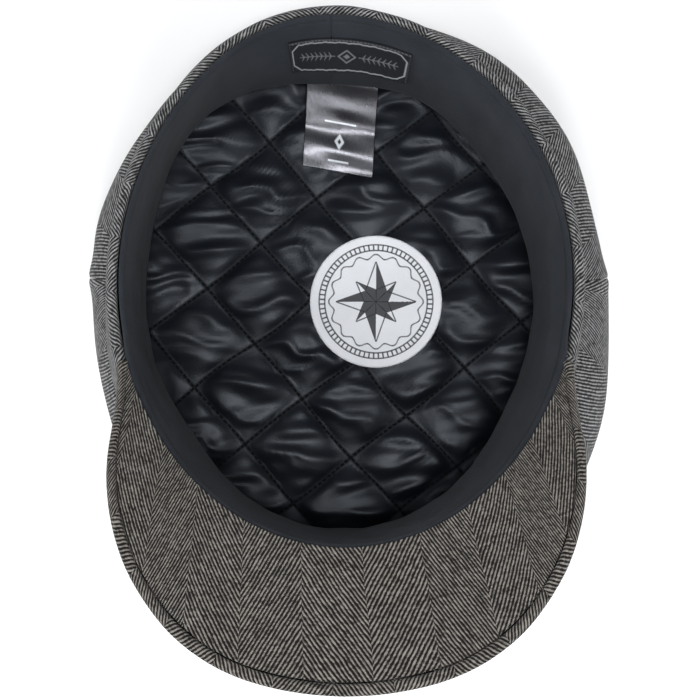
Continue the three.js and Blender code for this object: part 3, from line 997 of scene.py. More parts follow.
@dataclass(frozen=True)
class Visor:
    """The stiff visor in its cover with a rolled edge, and the facing on its inner side.

    The edge shares are one side's marks: shares of the way forward, of the half width and of
    the rise.
    """

    corner: float = np.radians(20.8)
    corner_width: float = 4
    half_width: float = FORM.opening_half_width
    middle_x: float = -1.2
    reach: float = 46.5
    tip_rise: float = 23.5
    body: float = 2.6
    edge_thickness: float = 4.4
    edge_width: float = 4.2
    facing: float = 1.3
    facing_start: float = 0.05
    shares: int = 300
    edge_shares: tuple[tuple[float, float, float], ...] = (
        (0.14, 0.988, 0.25),
        (0.33, 1.0, 0.56),
        (0.5, 0.961, 0.75),
        (0.655, 0.875, 0.85),
        (0.83, 0.687, 0.955),
        (0.946, 0.424, 1.0),
    )
    wrap: float = 80
    steepest: float = 0.72
    fan_x: float = -31
    fan_y: float = -75
    fan: float = 0.0029
    column_x: float = 3.8
    column: float = 20.4
    lengthwise: float = 1.1
    unevenness: float = 0.3
    uneven_length: float = 42
    turned_edge: float = 0.65
    turned_width: float = 0.8
    roll_rows: int = 34
    roll_unevenness: float = 0.12
    roll_uneven_length: float = 17
    span_rows: int = 60

    def root(self, share: np.ndarray) -> np.ndarray:
        """The visor's root on the rim, a share of the way from its left to its right corner."""
        angle = blend(np.pi + self.corner, TURN - self.corner, share)
        gap = FORM.clearance
        return FORM.near_rim(angle, np.full_like(angle, gap), np.full_like(angle, -gap))

    def edge_marks(self) -> np.ndarray:
        """The points that the outer edge passes through, from the left corner to the right."""
        ends = np.array([np.pi + self.corner, TURN - self.corner])
        lift = np.full(2, -FORM.clearance)
        left, right = FORM.near_rim(ends, np.full(2, self.corner_width), lift)
        tip = FORM.rim(np.array(FRONT)) + np.array([0, -self.reach, self.tip_rise])
        tip[0] = self.middle_x
        forward, outward, rise = np.array(self.edge_shares).T

        def half(side: float) -> np.ndarray:
            """One side's marks: shares of the half width, of the way forward and of the rise."""
            x = self.middle_x + side * self.half_width * outward
            y, z = blend(left[1], tip[1], forward), blend(left[2], tip[2], rise)
            return np.stack([x, y, z], -1)

        return np.concatenate([[left], half(-1), [tip], half(1)[::-1], [right]])

    def edge(self, share: np.ndarray) -> np.ndarray:
        """The outer edge at a share of its length: a centripetal Catmull-Rom curve.

        Each span's tangents come from the square roots of the distances between the marks
        round it, and the spans' points are then spread by length.
        """
        marks = self.edge_marks()
        ends = [2 * marks[0] - marks[1], 2 * marks[-1] - marks[-2]]
        marks = np.concatenate([[ends[0]], marks, [ends[1]]])
        knots = np.sqrt(np.linalg.norm(np.diff(marks, axis=0), axis=-1))[:, None]
        slope = np.diff(marks, axis=0) / knots
        wide = (marks[2:] - marks[:-2]) / (knots[1:] + knots[:-1])
        tangent = slope[:-1] - wide + slope[1:]
        start, end, span = marks[1:-2], marks[2:-1], knots[1:-1]
        t = np.linspace(0, 1, self.span_rows, endpoint=False)[None, :, None]
        first, last = (tangent[:-1] * span)[:, None], (tangent[1:] * span)[:, None]
        curve = (
            (2 * t**3 - 3 * t**2 + 1) * start[:, None]
            + (t**3 - 2 * t**2 + t) * first
            + (3 * t**2 - 2 * t**3) * end[:, None]
            + (t**3 - t**2) * last
        ).reshape(-1, 3)
        curve = np.concatenate([curve, marks[-2:-1]])
        length = run_length(curve, 0)
        want = share * length[-1]
        return np.stack([np.interp(want, length, curve[:, k]) for k in range(3)], -1)

    def point(self, share: np.ndarray, inward: np.ndarray, height: np.ndarray) -> np.ndarray:
        """A point of the visor.

        The height goes along the plate's normal at the outer edge and straight out of the
        opening at the root.

        Args:
            share: how far round, from the left corner to the right.
            inward: a share of the way from the outer edge to the root.
            height: millimetres above the outer face.

        Returns:
            The points.
        """
        root, edge = self.root(share), self.edge(share)
        step = 0.004
        ahead, behind = np.minimum(share + step, 1), np.maximum(share - step, 0)
        middle = blend(self.root(ahead), self.edge(ahead), 0.5)
        round_it = middle - blend(self.root(behind), self.edge(behind), 0.5)
        normal = unit(np.cross(round_it, edge - root))
        normal *= np.sign(normal[..., 2:])
        lift = blend(normal, FORM.out, inward[..., None])
        return blend(edge, root, inward[..., None]) + lift * height[..., None]

    def reach_share(self, share: np.ndarray, distance: np.ndarray | float) -> np.ndarray:
        """A distance in from the outer edge as a share of the way to the root."""
        return distance / np.linalg.norm(self.root(share) - self.edge(share), axis=-1)

    def plan_cloth(self, points: np.ndarray) -> np.ndarray:
        """Flat cloth coordinates for columns that run forward and fan out.

        The fan is undone about one line. The distance from the middle is wrapped round a
        cylinder as an arc sine, which goes on straight beyond its steepest share, and the way
        forward is stretched for its slope.
        """
        x, y = points[..., 0], points[..., 1]
        straight = self.fan_x + (x - self.fan_x) / (1 + self.fan * (self.fan_y - y))
        share = straight / self.wrap
        held = np.clip(share, -self.steepest, self.steepest)
        beyond = (share - held) / np.sqrt(1 - self.steepest**2)
        across = self.wrap * (np.arcsin(held) + beyond)
        return np.stack([across - self.column_x, -y * self.lengthwise], -1)

    def cover(self, look: bpy.types.Material) -> None:
        """Builds the cover: the outer face, the rolled edge and the hidden face, then two ends.

        The rolled edge is an upright oval carried along the visor's outer edge, and each end
        is closed by a fan of faces from its middle.

        Args:
            look: its material.
        """
        share = np.linspace(0, 1, self.shares)[:, None]
        half_width, half_height = self.edge_width / 2, self.edge_thickness / 2
        around = np.radians(np.linspace(-90, 200, self.roll_rows))[None, :]
        distance = half_width * (1 - np.cos(around))
        height = half_height * (1 + np.sin(around))
        height = np.maximum(height, np.where(distance > half_width, self.body - 0.4, 0))
        wide = np.broadcast_to(share, (self.shares, around.shape[1]))
        inward = self.reach_share(wide, distance)
        plain = self.point(wide, inward, height)
        uneven = self.roll_unevenness * ripple(plain, self.roll_uneven_length, 21)
        rolled = self.point(wide, inward, height + uneven * np.sin(around))
        outermost = self.roll_rows // 2
        edge_length = run_length(plain, 0)[:, outermost : outermost + 1]
        roll_cloth = np.stack(np.broadcast_arrays(edge_length, run_length(plain, 1)), -1)
        skin = Skin()
        skin.grid(rolled, roll_cloth)
        back = np.linspace(0, 1, 24)[None, :]
        outer_in = blend(self.reach_share(share, distance[:, :1]), 1.0, back)
        inner_in = blend(self.reach_share(share, distance[:, -1:]), 1.0, back)
        wide = np.broadcast_to(share, outer_in.shape)
        start = height[0, 0] + uneven[:, :1] * np.sin(around[0, 0])
        outer = self.point(wide, outer_in, blend(start, 0.0, back))
        top = height[0, -1] + uneven[:, -1:] * np.sin(around[0, -1])
        inner = self.point(wide, inner_in, blend(top, self.body, back))
        skin.grid(outer, self.plan_cloth(outer))
        skin.grid(inner, self.plan_cloth(inner))
        root = np.stack([outer[:, -1], inner[:, -1]], 1)
        skin.grid(root, self.plan_cloth(root))
        for end in (0, -1):
            loop = np.concatenate([outer[end][::-1], rolled[end][1:], inner[end][1:]])
            middle = np.broadcast_to(loop.mean(0), loop.shape)
            cap = np.stack([loop, middle])
            skin.grid(cap, self.plan_cloth(cap))
        piece = skin.build("visor_cover")
        finish_piece(piece, Slot.WOOL, look, "visor")

    def lay_facing(self, look: bpy.types.Material) -> None:
        """Builds the facing: from the root to the rolled edge, its rim turned down.

        Args:
            look: its material.
        """
        share = np.linspace(self.facing_start, 1 - self.facing_start, self.shares)[:, None]
        edge_in = self.reach_share(share, self.edge_width + FORM.clearance)
        back = dense_ends(44, 0.7)[None, :]
        inward = blend(edge_in, 1.0, back)
        wide = np.broadcast_to(share, inward.shape)
        low = self.body + FORM.clearance
        high = low + self.facing
        plain = self.point(wide, inward, np.full(inward.shape, high))
        from_edge = run_length(plain, 1)
        round_it = run_length(plain, 0)
        from_end = np.minimum(round_it, round_it[-1] - round_it)
        at_edge, at_end = (bump(away, self.turned_width) for away in (from_edge, from_end))
        turned = self.turned_edge * np.maximum(at_edge, at_end)
        uneven = self.unevenness * ripple(plain, self.uneven_length, 5)
        uneven = uneven * smooth_step(1, 9, from_edge)
        outer = self.point(wide, inward, high - turned + uneven)
        inner = self.point(wide, inward, np.full(inward.shape, low))
        cloth = self.plan_cloth(outer)
        skin = Skin()
        skin.shell(outer, inner, cloth, closed=False)
        piece = skin.build("visor_facing_cloth")
        finish_piece(piece, Slot.WOOL, look, "visor_facing")

    def build(self, look: bpy.types.Material) -> None:
        """Builds the cover and the facing."""
        self.cover(look)
        self.lay_facing(look)


# The sweatband and its label


@dataclass(frozen=True)
class Sweatband:
    """The cotton band that leans into the opening from a folded lip on the rim.

    Each place is an angle in degrees, the degrees that the lean loses there, and the span of
    the bell in degrees.
    """

    width: float = 37
    thickness: float = 1.2
    lean: float = 11.5
    lean_to_right: float = 2.5
    lean_at_ends: float = 9
    visor_rise: float = 3.2
    visor_corner: float = 69.2
    rise_span: float = 8
    around: int = 440
    lip: float = 2.6
    lip_height: float = 0.45
    groove_depth: float = 0.5
    groove_width: float = 0.55
    swell: float = 0.55
    small_wave: float = 0.24
    hem_height: float = 0.22
    hem_from_edge: float = 1.6
    hem_width: float = 1.1
    edge_round: float = 0.7
    edge_cloth: float = 0.6
    joint: float = np.radians(90.5)
    joint_span: float = 0.03
    joint_radius: float = 92
    places: tuple[tuple[float, float, float], ...] = (
        (132, 18, 28),
        (62, 8, 18),
        (218, -4, 16),
        (335, -4.5, 20),
    )

    def lean_at(self, angle: np.ndarray) -> np.ndarray:
        """How far the band leans inwards, in radians: more on the right and at both ends.

        Each place takes its degrees off as a bell of its span round its angle.
        """
        turn = np.degrees(angle)
        lean = self.lean + self.lean_to_right * np.cos(angle)
        lean = lean + self.lean_at_ends * np.sin(angle) ** 2
        for middle, less, span in self.places:
            away = np.mod(turn - middle + 180, 360) - 180
            lean = lean - less * bump(away, span)
        return np.radians(lean)

    def point(self, angle: np.ndarray, along: np.ndarray, into: np.ndarray) -> np.ndarray:
        """A point of the band: down it from the rim, and into the opening from its back."""
        lean = self.lean_at(angle)
        outward = -FORM.clearance - along * np.sin(lean) - into * np.cos(lean)
        return FORM.near_rim(angle, outward, along * np.cos(lean) - into * np.sin(lean))

    def rise(self, angle: np.ndarray) -> np.ndarray:
        """How much higher the lip stands: the visor's thickness within the visor's corners."""
        away = np.abs(np.degrees(np.mod(angle - FRONT + np.pi, TURN) - np.pi))
        outside = smooth_step(self.visor_corner, self.visor_corner + self.rise_span, away)
        return self.visor_rise * (1 - outside)

    def build(self, look: bpy.types.Material) -> None:
        """Carries the section round: a folded lip, the long face and the hidden face.

        The face is the cloth's thickness with a bell for the lip, one taken off for the
        groove below it, long swells, small waves and a bell for the hem. The joint is a
        narrow notch with a low bell beside it, and the columns are dense there.

        Args:
            look: its material.
        """
        at_joint = self.joint + np.linspace(-self.joint_span, self.joint_span, 21)
        angle = np.concatenate([np.linspace(0, TURN, self.around + 1), at_joint])
        angle = np.sort(angle)[:, None]
        near_lip, below = np.linspace(0, 6, 16)[:-1], np.linspace(6, self.width, 34)
        along = np.concatenate([near_lip, below])[None, :]
        rise = self.rise(angle) * np.clip(1 - along / (2 * self.lip), 0, 1) ** 1.5
        lip = self.lip_height * bump(along - self.lip * 0.45, self.lip * 0.4)
        groove = self.groove_depth * bump(along - self.lip * 1.1, self.groove_width)
        plain = self.point(angle, along - rise, np.full(along.shape, self.thickness))
        face = self.swell * ripple(plain, 60, 31) * smooth_step(3, 16, along)
        face = face + self.small_wave * ripple(plain, 15, 32) * smooth_step(4, 10, along)
        to_hem = along - self.width + self.hem_from_edge
        face = face + self.hem_height * bump(to_hem, self.hem_width)
        to_joint = (angle - self.joint) * self.joint_radius
        seam = 0.6 * bump(to_joint, 0.4) - 0.2 * bump(to_joint - 1.5, 0.9)
        into = self.thickness + lip - groove + face - seam
        hem = np.sqrt(np.clip((self.width - along) / self.edge_round, 0, 1))
        front = self.point(angle, along - rise, blend(self.edge_cloth, into, hem))
        behind = self.point(angle, along - rise, np.zeros(along.shape))
        front[-1], behind[-1] = front[0], behind[0]
        middle_row = np.s_[:, 20:21]
        round_it = run_length(plain, 0)[middle_row]
        cloth = np.stack(np.broadcast_arrays(round_it, run_length(plain, 1)), -1)
        skin = Skin()
        upright = [grid.transpose(1, 0, 2) for grid in (front, behind, cloth)]
        skin.shell(*upright, closed=True)
        piece = skin.build("sweatband_cloth")
        finish_piece(piece, Slot.COTTON, look, "sweatband")


@dataclass(frozen=True)
class WovenLabel:
    """The black label on the sweatband's back, with a silver border and a plain ornament."""

    band: Sweatband = field(default_factory=Sweatband)
    width: float = 52
    height: float = 17
    depth: float = 11
    angle: float = np.radians(85.5)
    cloth: float = 0.8
    border_inset: float = 1.3
    border_width: float = 0.36
    clipped: float = 3.0
    hem_inset: float = 0.4
    hem_stitch: float = 1.5
    curl: float = 0.5
    columns: int = 260
    rows: int = 92

    def drawing(self, x: np.ndarray, y: np.ndarray) -> np.ndarray:
        """How silver a place is: a border with clipped corners, a lozenge and rows of leaves.

        Args:
            x: millimetres from the middle, along the label.
            y: millimetres from the middle, up the label.

        Returns:
            A share from nought to one.
        """
        half_x, half_y = self.width / 2 - self.border_inset, self.height / 2 - self.border_inset
        box = np.maximum(np.abs(x) - half_x, np.abs(y) - half_y)
        corner = (np.abs(x) + np.abs(y) - half_x - half_y + self.clipped) / np.sqrt(2)
        wavy = box + 0.14 * np.sin(x * 0.9 + 0.7) + 0.1 * np.sin(x * 2.1)
        border = 1 - smooth_step(0, 0.3, np.abs(np.maximum(wavy, corner)) - self.border_width / 2)
        to_hem = np.abs(box - self.border_inset + self.hem_inset)
        dash = np.mod((x + y) / self.hem_stitch, 1) < 0.6
        hem = (1 - smooth_step(0.1, 0.25, to_hem)) * dash * 0.3
        lozenge = np.abs(x) / 4.2 + np.abs(y) / 3.6
        centre = 1 - smooth_step(0.05, 0.2, np.abs(lozenge - 0.9))
        centre = np.maximum(centre, 1 - smooth_step(0.3, 0.45, lozenge))
        beside = np.abs(x) - 6.2
        leaf = np.mod(beside, 2.1) - 0.9
        blade = np.abs(leaf - 0.55 * np.abs(y)) + 0.12 * np.abs(y)
        inside = (beside > 0) & (np.abs(x) < half_x - 3.2) & (np.abs(y) < 3.4 - 0.06 * beside)
        leaves = (1 - smooth_step(0.2, 0.6, blade)) * inside * 0.5
        stem = (1 - smooth_step(0.12, 0.35, np.abs(y))) * (np.abs(x) < half_x - 3) * 0.5
        return np.maximum.reduce([border, hem, centre * 0.6, leaves, stem * (beside > -1)])

    def build(self, look: bpy.types.Material) -> None:
        """Lays the label on the band, its lower edge curling up a little, and dresses it."""
        lean = self.band.lean_at(np.array(self.angle))
        span = self.width / 2 / (FORM.opening_half_width - np.sin(lean) * self.depth)
        share, down = np.meshgrid(np.linspace(-1, 1, self.columns), np.linspace(0, 1, self.rows))
        angle = self.angle + span * share
        along = self.depth + self.height * down
        near = self.band.thickness + 2 * FORM.clearance
        x, y = -share * self.width / 2, (0.5 - down) * self.height
        edge = np.minimum(self.width / 2 - np.abs(x), self.height / 2 - np.abs(y))
        curl = self.curl * down**2 * np.abs(np.sin(share * 3.1 + 0.6))
        wall = self.cloth * (0.35 + 0.65 * smooth_step(0, self.cloth, edge))
        outer = self.band.point(angle, along, near + curl + wall)
        inner = self.band.point(angle, along, near + curl * 0.9)
        flat = np.stack([x, y], -1)
        skin = Skin()
        skin.shell(outer, inner, flat, closed=False, mark=self.drawing(x, y))
        piece = skin.build("woven_label_cloth")
        finish_piece(piece, Slot.WOVEN, look, "woven_label")


# The lining and what is sewn on it


@dataclass(frozen=True)
class Quilt:
    """The padded satin bowl, quilted in diamonds.

    The slack is how many times longer the satin is than its bowl along X, Y and Z, and most
    is how far in millimetres a point of it may move. Each fold is a place across the diamond,
    as a share of the fold reach, and a share of the full fold.
    """

    steps: int = 256
    every: int = 2
    frames: int = 16
    slack: tuple[float, float, float] = (1.015, 1.09, 1.06)
    most: float = 3.2
    origin: tuple[float, float] = (-16.3, 4.3)
    down_right: tuple[float, float] = (19.9, -23.2)
    up_right: tuple[float, float] = (23.2, 18.3)
    stitch_depth: float = 1.3
    puff: float = 2.2
    crease: float = 4.4
    fold: float = 0.8
    fold_width: float = 1.9
    hollow: float = 0.55
    hollow_off: float = 4.2
    hollow_width: float = 3.0
    crest: float = 0.34
    crest_off: float = 0.8
    crest_width: float = 0.8
    folds: tuple[tuple[float, float], ...] = ((0.0, 1.0), (0.34, 0.6), (-0.42, 0.7))
    fold_reach: float = 21
    fold_scatter: float = 9
    fold_bend: float = 7
    waver: float = 1.6
    sewn_within: float = 0.5
    loose_beyond: float = 1.3
    floor_share: float = 0.46
    collar_share: float = 0.95
    top_depth: float = 23
    badge_x: float = 10.6
    badge_y: float = 3.2
    badge_radius: float = 27
    badge_level: float = 5.75
    collar_length: float = 9
    table_rows: int = 73
    table_columns: int = 145

    def bowl(
        self, angle: np.ndarray, share: np.ndarray, inset: float, behind: float
    ) -> tuple[np.ndarray, np.ndarray]:
        """Points of the bowl, and their distances from its middle along its surface.

        The first part of the share crosses the floor, the next climbs the crown's section
        and the last goes up inside the headband. The distances up the crown's section are
        looked up in a table of them between whose rows and columns they are evenly blended.

        Args:
            angle: round the bowl.
            share: from its middle to its edge.
            inset: how far inside the crown's outer face.
            behind: how far inside the headband.

        Returns:
            The points and the distances in millimetres.
        """
        on_floor = np.clip(share / self.floor_share, 0, 1)
        climb = np.clip((share - self.floor_share) / (self.collar_share - self.floor_share), 0, 1)
        up = np.clip((share - self.collar_share) / (1 - self.collar_share), 0, 1)
        turn = blend(-QUARTER, QUARTER, climb)
        point = FORM.crown(angle, turn, inset)
        point[..., :2] *= on_floor[..., None]
        inwards = FORM.rim_normal(angle) * np.array([1, 1, 0])
        point -= inwards * (behind * np.maximum(0, np.sin(turn)))[..., None]
        depth = blend(FORM.headband_height, self.top_depth, up)
        inside, foot = np.full(angle.shape, -behind), np.full(angle.shape, FORM.headband_height)
        lifted = point + (FORM.band(angle, inside, depth) - FORM.band(angle, inside, foot))
        point = np.where((up > 0)[..., None], lifted, point)
        floor_length = np.linalg.norm(FORM.oval(angle, FORM.under_curve), axis=-1)
        table_turn = np.linspace(-QUARTER, QUARTER, self.table_rows)[:, None]
        table_angle = np.linspace(0, TURN, self.table_columns)[None, :]
        table = run_length(FORM.crown(table_angle, table_turn, inset), 0)
        row = climb * (self.table_rows - 1)
        column = np.mod(angle, TURN) / TURN * (self.table_columns - 1)
        r = np.minimum(row.astype(int), self.table_rows - 2)
        c = np.minimum(column.astype(int), self.table_columns - 2)
        dr, dc = row - r, column - c
        near = table[r, c] * (1 - dc) + table[r, c + 1] * dc
        far = table[r + 1, c] * (1 - dc) + table[r + 1, c + 1] * dc
        distance = floor_length * on_floor + blend(near, far, dr) + up * self.collar_length
        return point, distance

    def lattice(self, flat: np.ndarray) -> tuple[np.ndarray, np.ndarray]:
        """Flat places as counts of the two lattice steps: the solution of two equations."""
        basis = np.array([self.down_right, self.up_right]).T
        count = (flat - np.array(self.origin)) @ np.linalg.inv(basis).T
        return count[..., 0], count[..., 1]

    def off_seams(self, first: np.ndarray, second: np.ndarray) -> list[np.ndarray]:
        """Millimetres from the nearest seam of each lattice direction."""
        return [np.abs(count - np.round(count)) * QUILT_CELL for count in (first, second)]

    def relief(self, flat: np.ndarray, first: np.ndarray, second: np.ndarray) -> np.ndarray:
        """The satin's height over its seams.

        A pillow between the seam lines rises as one minus an exponential of the distance to
        each. On it lie folds that run from crossing to crossing along the wide diagonal:
        each is a narrow hump about a wavering line with a thin crest on it, and its flank is
        a hollow. All three fall away as one over a hyperbolic cosine.

        Args:
            flat: places on the flattened bowl.
            first: counts of the first lattice step.
            second: counts of the second lattice step.

        Returns:
            Heights in millimetres.
        """
        one_side, other = (1 - np.exp(-off / self.crease) for off in self.off_seams(first, second))
        pillow = one_side * other
        i, j = np.floor(first), np.floor(second)
        a, b = first - i, second - j
        height, along = (b - a) * self.fold_reach, (a + b) / 2
        window = np.clip(np.sin(np.pi * along), 0, 1) ** 0.6 * smooth_step(0, 0.16, pillow)
        total = self.puff * pillow
        waver = self.waver * ripple(flat, 17, 41)
        for number, (place, lift) in enumerate(self.folds):
            chance = [cell_noise(i, j, number + more) for more in (0, 5, 9)]
            shift = (chance[0] - 0.5) * self.fold_scatter + place * self.fold_reach
            bend = (chance[1] - 0.5) * self.fold_bend * np.sin(TURN * along)
            away = height - shift - bend - waver
            strength = self.fold * lift * blend(0.35, 1.25, chance[2])
            hump = 1 / np.cosh(away / self.fold_width)
            hollow = self.hollow / np.cosh((away + self.hollow_off) / self.hollow_width)
            crest = self.crest * lift * window
            total = total + strength * window * (hump - hollow)
            total = total + crest / np.cosh((away - self.crest_off) / self.crest_width)
        fine = 0.16 * ripple(flat, 7, 42, 2.5) + 0.3 * ripple(flat, 19, 43, 1.6)
        return total + fine * smooth_step(0.02, 0.5, pillow)

    def square_to_disc(self) -> tuple[np.ndarray, np.ndarray]:
        """An even square grid squeezed onto a disc: each square ring becomes a circle."""
        line = np.linspace(-1, 1, self.steps + 1)
        u, v = np.meshgrid(line, line)
        wide = np.abs(u) > np.abs(v)
        radius = np.where(wide, u, v)
        ratio = np.where(wide, v, u) / np.where(np.abs(radius) < 1e-9, 1, radius)
        angle = np.where(wide, ratio * np.pi / 4, QUARTER - ratio * np.pi / 4)
        x, y = radius * np.cos(angle), radius * np.sin(angle)
        return np.arctan2(y, x), np.hypot(x, y)

    def buckle(self, points: np.ndarray, sewn: np.ndarray) -> np.ndarray:
        """Lets the satin buckle between its seams, by Blender's Cloth.

        The seams are pinned. The cloth's rest shape is the same grid grown by the slack, more
        along Y than across it, so that it throws folds that run sideways from crossing to
        crossing, and a slight pressure lifts them.

        Args:
            points: the grid in millimetres before it buckles.
            sewn: how firmly each point is held, from nought to one.

        Returns:
            The grid in millimetres when it has settled.
        """
        mesh = bpy.data.meshes.new("satin_to_settle")
        faces = quads(*points.shape[:2])
        mesh.from_pydata((points.reshape(-1, 3) * MM).tolist(), [], faces.tolist())
        satin = add_object("satin_to_settle", mesh)
        pins = satin.vertex_groups.new(name="sewn")
        for place in np.flatnonzero(sewn.ravel() > 0.02):
            pins.add([int(place)], float(sewn.flat[place]), "REPLACE")
        satin.shape_key_add(name="drawn")
        slack = satin.shape_key_add(name="slack")
        slack.data.foreach_set("co", (points * np.array(self.slack) * MM).ravel())
        cloth = satin.modifiers.new("cloth", "CLOTH")
        settings = cloth.settings
        settings.quality = 5
        settings.mass = 0.12
        settings.tension_stiffness = settings.compression_stiffness = 12
        settings.shear_stiffness = 4
        settings.bending_stiffness = 0.04
        settings.air_damping = 3
        settings.vertex_group_mass = "sewn"
        settings.pin_stiffness = 1
        settings.rest_shape_key = slack
        settings.use_pressure = True
        settings.uniform_pressure_force = 0.8
        settings.effector_weights.gravity = 0
        cloth.collision_settings.use_collision = False
        cloth.point_cache.frame_end = self.frames
        for frame in range(1, self.frames + 1):
            bpy.context.scene.frame_set(frame)
        settled = satin.evaluated_get(bpy.context.evaluated_depsgraph_get()).to_mesh()
        found = np.empty(points.size)
        settled.vertices.foreach_get("co", found)
        bpy.context.scene.frame_set(1)
        bpy.data.objects.remove(satin)
        moved = found.reshape(points.shape) / MM - points
        far = np.linalg.norm(moved, axis=-1, keepdims=True)
        return points + moved * np.minimum(1, self.most / np.maximum(far, 1e-6))

    def build(self, look: bpy.types.Material) -> None:
        """Builds the padded face over the bowl, and its plain back, welded at the collar.

        The face is the bowl raised along its normal by the relief. Then the satin buckles
        between its seams, and the badge presses it flat.

        Args:
            look: its material.
        """
        angle, share = self.square_to_disc()
        share = np.minimum(share, 1)
        inset = FORM.crown_cloth + FORM.clearance + FORM.lining_padding
        gap = FORM.clearance
        base, arc = self.bowl(angle, share, inset, gap + FORM.lining_padding)
        heading = unit(FORM.oval(angle, FORM.under_curve))
        flat = heading * arc[..., None]
        flat = flat + np.stack([ripple(flat, 70, 51), ripple(flat, 70, 52)], -1)
        first, second = self.lattice(flat)
        normal = unit(np.cross(np.gradient(base, axis=1), np.gradient(base, axis=0)))
        middle = self.steps // 2
        normal *= np.where(normal[middle, middle, 2] < 0, -1, 1)
        edge_fade = smooth_step(1.0, 0.9, share)
        height = (self.relief(flat, first, second) - self.stitch_depth) * edge_fade
        points = base + normal * height[..., None]
        nearest = np.minimum(*self.off_seams(first, second))
        sewn = smooth_step(self.loose_beyond, self.sewn_within, nearest)
        sewn = np.maximum(sewn, smooth_step(0.93, 0.97, share))
        some = np.s_[:: self.every, :: self.every]
        moved = self.buckle(points[some], sewn[some]) - points[some]
        points = points + doubled(doubled(moved, 0), 1) * (1 - sewn)[..., None]
        to_badge = np.hypot(points[..., 0] - self.badge_x, points[..., 1] - self.badge_y)
        pressed = smooth_step(self.badge_radius + 3.5, self.badge_radius - 0.5, to_badge)
        flattened = np.minimum(points[..., 2], self.badge_level)
        points[..., 2] = blend(points[..., 2], flattened, pressed)
        points[..., 2] = np.maximum(points[..., 2], FORM.crown_cloth + 0.6)
        skin = Skin()
        skin.grid(points, np.stack([first, second], -1))
        ring = [np.s_[0, :], np.s_[1:, -1], np.s_[-1, -2::-1], np.s_[-2::-1, 0]]
        rim = np.concatenate([points[part] for part in ring])
        rim_angle = np.concatenate([angle[part] for part in ring])
        down = np.concatenate([np.linspace(1, self.floor_share, 14), [0.3, 0.15, 0.0]])[:, None]
        turned = np.broadcast_to(rim_angle, (len(down), len(rim_angle)))
        shares = np.broadcast_to(down, turned.shape)
        outer, _ = self.bowl(turned, shares, inset - FORM.lining_padding, gap)
        outer = np.concatenate([rim[None], outer])
        skin.grid(outer, outer[..., :2] / QUILT_CELL)
        piece = skin.build("quilted_lining_satin")
        finish_piece(piece, Slot.SATIN, look, "quilted_lining")


@dataclass(frozen=True)
class Badge:
    """The round white cloth badge with a compass rose in dark line."""

    radius: float = 27
    x: float = 10.6
    y: float = 3.2
    low: float = 5.8
    high: float = 6.8
    rings: int = 96
    around: int = 560
    edge_round: float = 0.8
    swell: float = 0.12
    outer_ring: float = 23.2
    inner_ring: float = 20.9
    ticks: int = 72
    waves: int = 16
    wave_radius: float = 18.4
    wave_height: float = 0.9
    points: tuple[tuple[float, float, float], ...] = ((0.0, 16.4, 4.3), (0.5, 11.5, 3.4))

    def drawing(self, x: np.ndarray, y: np.ndarray) -> np.ndarray:
        """How dark a place is: two rings with ticks between, and an eight-pointed rose.

        A point of the rose widens evenly from the middle and then narrows evenly to its end,
        and one half of it is dark. Four points are long and four short ones lie between. The
        ticks are stripes of the angle, and the ornament is a circle that waves.

        Args:
            x: millimetres right of the middle.
            y: millimetres above the middle.

        Returns:
            A share from nought to one.
        """
        radius, angle = np.hypot(x, y), np.arctan2(x, y)

        def line(distance: np.ndarray, half: float) -> np.ndarray:
            """One within a half width of nought, soft at its edge."""
            return 1 - smooth_step(half - 0.1, half + 0.14, np.abs(distance))

        outer, inner = line(radius - self.outer_ring, 0.2), line(radius - self.inner_ring, 0.2)
        tick_angle = np.mod(angle * self.ticks / TURN, 1) - 0.5
        ticks = line(tick_angle * radius * TURN / self.ticks, 0.26)
        ticks = ticks * (radius > self.inner_ring) * (radius < self.outer_ring)
        waves = np.mod(angle * self.waves / TURN + 0.5, 1) - 0.5
        curve = radius - self.wave_radius - self.wave_height * np.cos(waves * TURN)
        rose = np.zeros_like(radius)
        for quarter_share, reach, width in self.points:
            local = (np.mod(angle / QUARTER + quarter_share + 0.5, 1) - 0.5) * QUARTER
            along, aside = radius * np.cos(local), radius * np.sin(local)
            limit = np.minimum(along * 0.95, (reach - along) * width / (reach - width))
            edge = np.maximum(limit, 0) - np.abs(aside)
            outline = line(edge, 0.22) * (along < reach)
            filled = smooth_step(0, 0.3, edge) * (aside > 0)
            rose = np.maximum(rose, np.maximum(outline, filled * 0.92))
        rings = np.maximum(outer, inner) * (radius > 6)
        return np.maximum.reduce([rings, ticks, line(curve, 0.24), rose])

    def build(self, look: bpy.types.Material) -> None:
        """Builds the disc with a rounded rim, and its underside."""
        share = np.linspace(0, 1, self.rings)[:, None]
        angle = np.linspace(0, TURN, self.around + 1)[None, :]
        x, y = self.radius * share * np.cos(angle), self.radius * share * np.sin(angle)
        rim = np.sqrt(np.clip((1 - share) * self.radius / self.edge_round, 0, 1))
        rim = np.broadcast_to(rim, x.shape)
        middle = (self.low + self.high) / 2
        flat = np.stack([x, y], -1)
        top = blend(middle, self.high + self.swell * ripple(flat, 26, 61), rim)
        under = blend(middle, self.low, rim)
        above, below = (np.stack([x + self.x, y + self.y, z], -1) for z in (top, under))
        skin = Skin()
        skin.grid(above, flat, self.drawing(x, y))
        fine_from = self.rings - 6
        rows = np.r_[0:fine_from:10, fine_from : self.rings]
        skin.grid(below[rows], flat[rows])
        piece = skin.build("badge_cloth")
        finish_piece(piece, Slot.BADGE, look, "badge")


